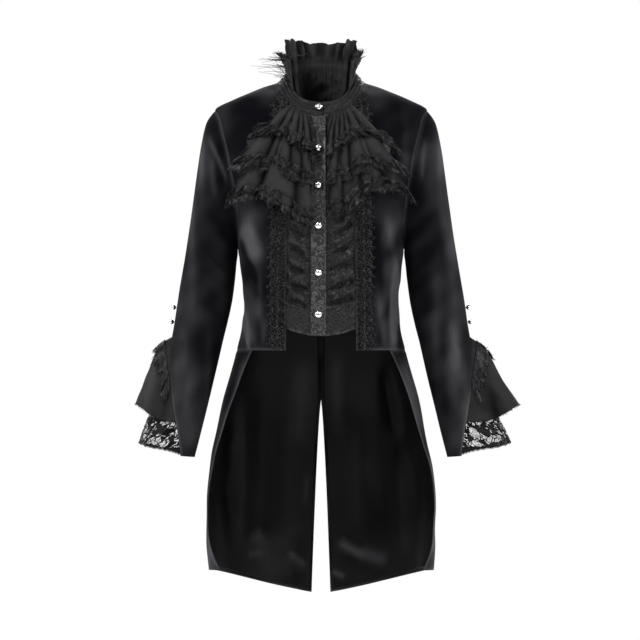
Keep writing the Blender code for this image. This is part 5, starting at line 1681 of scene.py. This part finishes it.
def make_flounce(side, letter, paints):
    """Chiffon flounce in the slit and the small lace ruffle on it."""
    around, share = grid((-90, 90), FLOUNCE_COLUMNS, FLOUNCE_ROWS)
    points, end = flounce_points(side, around, share)
    x, y = sleeve_section(points[..., 2])[:2]
    axis = np.stack([side * x, y, points[..., 2]], axis=-1)
    turns = 2 * np.pi * around / 180
    folds = np.sin(FLOUNCE_FOLDS * turns + 2 * np.pi * FLOUNCE_SHIFT) + 0.5 * np.sin(FLOUNCE_RIPPLES * turns)
    gathers = pleated(around + 90 + 4 * np.sin(5 * share), "flounce", side)
    stand = (FLOUNCE_FOLD * folds * share ** 1.2 + FLOUNCE_GATHER * gathers * (1 - share) ** 2) * (1 - end)
    stand += uneven(points, "flounce", side) * share * (1 - end)
    points = moved(points, axis, stand)
    # Painted shade in the flounce's hollows and along its painted dark strokes
    nap = np.clip(raised(stand, FLOUNCE_RELIEF, 0.35) + folded(points, FLOUNCE_PAINTED_SHADE[side]), 0, 1)
    name = f"cuff_flounce_{letter}"
    cloth(paints, "chiffon", name, points, axis, nap)
    facing = outward(points, axis)
    fray(paints, "chiffon", name + "_threads", points[-1], unit(points[-1] - points[-4]), facing[-1],
         FLOUNCE_FRAY, FLOUNCE_THREADS, FLOUNCE_SEED + side)
    (upper, lower), columns = CUFF_RUFFLE_ROWS, CUFF_RUFFLE_COLUMNS
    out = facing[upper, columns]
    lace_edging(paints, f"cuff_ruffle_{letter}", points[upper, columns] + out * CUFF_RUFFLE_OUT,
                points[lower, columns] - points[upper, columns], out, CUFF_RUFFLE_WIDTH,
                CUFF_RUFFLE_SEED + 3 * side, 0.7, stands=True)


def make_cuff_lace(side, letter, paints):
    """Lace flounce below the chiffon one. Past the slit's edges it lies inside the sleeve."""
    around, share = grid((-CUFF_LACE_TURN, CUFF_LACE_TURN), CUFF_LACE_COLUMNS, CUFF_LACE_ROWS)
    low_z = between(CUFF_LACE_SIDE_Z, CUFF_LACE_END_Z, np.abs(around) / CUFF_LACE_TURN)
    low_z = low_z + SCALLOP * np.abs(np.sin(np.pi * around / SCALLOP_ANGLE))
    z = between(CUFF_LACE_TOP_Z, low_z, share)
    x, y, half, depth, cut = sleeve_section(z)
    free = eased((180 - cut - CUFF_LACE_TUCK - np.abs(around)) / CUFF_LACE_EASE)
    folds = pleated(around + CUFF_LACE_TURN, "cuff lace", side) - 0.4
    reach = between(half - CUFF_LACE_INSIDE, CUFF_LACE_REACH[side] - x, free * share ** CUFF_LACE_ROUND)
    reach = reach + CUFF_LACE_WAVE * folds * share ** 1.1 * free
    across = (depth - CUFF_LACE_INSIDE) * (1 + CUFF_LACE_FLARE * free * share)
    turn = np.radians(around)
    points = np.stack([side * (x + reach * np.cos(turn)), y + across * np.sin(turn), z], axis=-1)
    axis = np.stack([side * x, y, z], axis=-1)
    name = f"cuff_lace_{letter}"
    cloth(paints, "lace", name, points, axis)
    hem = points[-1] + outward(points, axis)[-1] * PICOT_CORD
    line, _ = resampled(hem, PICOT_STEP)
    t = np.linspace(0, np.pi, 6)[:, None]
    picots = [between(start, end, (1 - np.cos(t)) / 2) - np.array([0, 0, PICOT]) * np.sin(t)
              for start, end in zip(line[:-1], line[1:])]
    cords(paints, "trim_cord", name + "_picots", picots + [hem], PICOT_CORD)


def make_cuffs(paints):
    """Flounces, ruffles and lace of both cuffs."""
    for side, letter in SIDES:
        make_flounce(side, letter, paints)
        make_cuff_lace(side, letter, paints)


# ------------------------------------------------------------------ buttons and stage


def make_buttons(paints):
    """Turned metal buttons, as their solids but rounder."""
    for name, node in frame["nodes"].items():
        if "button" in name:
            mesh = bmesh.new()
            mesh.from_mesh(node.data)
            mesh.transform(node.matrix_world)
            bmesh.ops.remove_doubles(mesh, verts=mesh.verts, dist=BUTTON_WELD)
            data = new_mesh(name + "_metal", mesh)
            data.materials.clear()
            data.shade_smooth()
            button = new_object(name + "_metal", data)
            rounding = button.modifiers.new("Rounding", "SUBSURF")
            rounding.levels = rounding.render_levels = BUTTON_LEVELS
            finish_piece(button, paints["silver"], [name])


def make_floor(stage):
    """Pale round floor."""
    mesh = bmesh.new()
    bmesh.ops.create_circle(mesh, cap_ends=True, segments=96, radius=FLOOR_RADIUS)
    bmesh.ops.translate(mesh, verts=mesh.verts, vec=(0, 0, stage.floor_height))
    floor = new_object("floor", new_mesh("floor", mesh))
    floor.data.materials.append(Paint("floor", (FLOOR_GREY,) * 3, 0.9).material)


def make_lights(stage):
    """White surroundings and soft square lights that look at the coat's middle."""
    world = bpy.data.worlds.new("studio")
    world.use_nodes = True
    tree = world.node_tree
    sky = tree.nodes["Background"]
    sky.inputs[0].default_value = (1, 1, 1, 1)
    strength = tree.nodes.new("ShaderNodeMapRange")
    strength.inputs["To Min"].default_value = stage.world_strength
    strength.inputs["To Max"].default_value = 1.0
    seen = tree.nodes.new("ShaderNodeLightPath").outputs["Is Camera Ray"]
    tree.links.new(seen, strength.inputs["Value"])
    tree.links.new(strength.outputs["Result"], sky.inputs[1])
    bpy.context.scene.world = world
    for name, (place, size, power) in LIGHTS.items():
        light = bpy.data.lights.new(name, "AREA")
        light.shape = "RECTANGLE"
        light.size, light.size_y = size
        light.energy = getattr(stage, power + "_power")
        lamp = new_object(name, light)
        lamp.location = place
        lamp.rotation_euler = (COAT_MIDDLE - Vector(place)).to_track_quat("-Z", "Y").to_euler()


def make_camera(stage):
    """Camera straight in front, which takes in the picture's width at the coat's middle."""
    camera = bpy.data.cameras.new("camera")
    camera.sensor_width = CAMERA_SENSOR
    camera.lens = camera.sensor_width * stage.camera_distance / stage.picture_width
    camera.clip_end = CAMERA_FARTHEST
    eye = new_object("camera", camera)
    eye.location = (CAMERA_X, -stage.camera_distance, stage.camera_height)
    eye.rotation_euler = (math.pi / 2, 0, 0)
    bpy.context.scene.camera = eye
    bpy.context.scene.view_settings.view_transform = "Standard"


# ------------------------------------------------------------------ add-on


def colour_property(name, description, default):
    """Colour that the user can change."""
    return FloatVectorProperty(name=name, description=description, default=default, subtype="COLOR",
                               size=3, min=0.0, max=1.0)


def number_property(name, description, default, unit="NONE", least=0.0):
    """Number that the user can change."""
    return FloatProperty(name=name, description=description, default=default, unit=unit, min=least)


class TailcoatLooks(bpy.types.PropertyGroup):
    """Colours of the coat's cloths and metal."""

    velvet_colour: colour_property("Velvet", "Depth of the velvet", (0.0022, 0.0021, 0.0031))
    backing_colour: colour_property("Backing", "Wrong side of the cloth", (0.006, 0.006, 0.007))
    satin_colour: colour_property("Satin", "Lining of the tails", (0.0022, 0.0022, 0.0024))
    chiffon_colour: colour_property("Chiffon", "Frills and jabot", (0.0112, 0.0112, 0.0116))
    lace_colour: colour_property("Lace", "Lace and braid", (0.0035, 0.0035, 0.0038))
    brocade_colour: colour_property("Brocade", "Waistcoat and neckband", (0.0072, 0.0072, 0.0075))
    silver_colour: colour_property("Silver", "Buttons", (0.78, 0.77, 0.75))


class TailcoatStage(bpy.types.PropertyGroup):
    """Camera, floor and lights."""

    camera_distance: number_property("Distance", "From the camera to the coat's middle", 12.0, "LENGTH", 1.0)
    camera_height: number_property("Height", "Height of the camera", -0.419, "LENGTH", -10.0)
    picture_width: number_property("Picture", "Width that the picture takes in", 1.1456, "LENGTH", 0.1)
    floor_height: number_property("Floor", "Height of the floor", -1.25, "LENGTH", -10.0)
    world_strength: number_property("Surroundings", "Light from the white surroundings", 0.30)
    key_power: number_property("Key", "Power of the key light", 150.0, "POWER")
    fill_power: number_property("Fill", "Power of the fill light", 80.0, "POWER")
    side_power: number_property("Sides", "Power of each side light", 110.0, "POWER")
    back_power: number_property("Back", "Power of the light behind", 80.0, "POWER")


def piece_operator(name, label, summary, make):
    """An operator that makes one group of pieces."""

    def execute(self, context):
        make(finishes(context))
        return {"FINISHED"}

    return type("TAILCOAT_OT_" + name, (bpy.types.Operator,), {
        "__doc__": summary, "bl_idname": "tailcoat." + name, "bl_label": label,
        "bl_options": {"REGISTER", "UNDO"}, "execute": execute,
    })


class TAILCOAT_OT_stage(bpy.types.Operator):
    """Make the floor, lights and camera"""

    bl_idname = "tailcoat.stage"
    bl_label = "Stage"

    def execute(self, context):
        for make in (make_floor, make_lights, make_camera):
            make(context.scene.tailcoat_stage)
        return {"FINISHED"}


OPERATORS = (TAILCOAT_OT_stage, *(piece_operator(*row) for row in (
    ("bodies", "Fronts and backs", "Make the velvet fronts and backs", make_bodies),
    ("sleeves", "Sleeves", "Make the velvet sleeves", make_sleeves),
    ("tails", "Tails", "Make the tails and their linings", make_tails),
    ("waistcoat", "Waistcoat", "Make the ruched waistcoat fronts and the placket", make_waistcoat),
    ("neckband", "Neckband", "Make the neckband", make_neckband),
    ("frill", "Collar frill", "Make the standing collar frill", make_collar_frill),
    ("ruffle", "Collar ruffle", "Make the outer collar ruffle", make_collar_ruffle),
    ("jabot", "Jabot", "Make the gathered jabot", make_jabot),
    ("braids", "Braids", "Make the braid beside the waistcoat", make_braids),
    ("cuffs", "Cuffs", "Make the flounces, ruffles and lace of the cuffs", make_cuffs),
    ("buttons", "Buttons", "Make the metal buttons", make_buttons),
)))


class TAILCOAT_PT_panel(bpy.types.Panel):
    """Lists the coat's pieces, colours and stage"""

    bl_idname = "TAILCOAT_PT_panel"
    bl_label = "Tailcoat"
    bl_space_type = "VIEW_3D"
    bl_region_type = "UI"
    bl_category = "Tailcoat"

    def draw(self, context):
        for operator in OPERATORS:
            self.layout.operator(operator.bl_idname)
        for group in (context.scene.tailcoat_looks, context.scene.tailcoat_stage):
            for name in group.__annotations__:
                self.layout.prop(group, name)


CLASSES = (TailcoatLooks, TailcoatStage, *OPERATORS, TAILCOAT_PT_panel)


def register():
    """Add the classes and the scene's properties."""
    for item in CLASSES:
        bpy.utils.register_class(item)
    bpy.types.Scene.tailcoat_looks = PointerProperty(type=TailcoatLooks)
    bpy.types.Scene.tailcoat_stage = PointerProperty(type=TailcoatStage)


def unregister():
    """Take them away again."""
    del bpy.types.Scene.tailcoat_stage
    del bpy.types.Scene.tailcoat_looks
    for item in reversed(CLASSES):
        bpy.utils.unregister_class(item)


def main():
    """Make the coat and its stage, and write the solids' box and the whole scene's."""
    register()
    for operator in OPERATORS:
        group, name = operator.bl_idname.split(".")
        getattr(getattr(bpy.ops, group), name)()


if __name__ == "__main__":
    main()
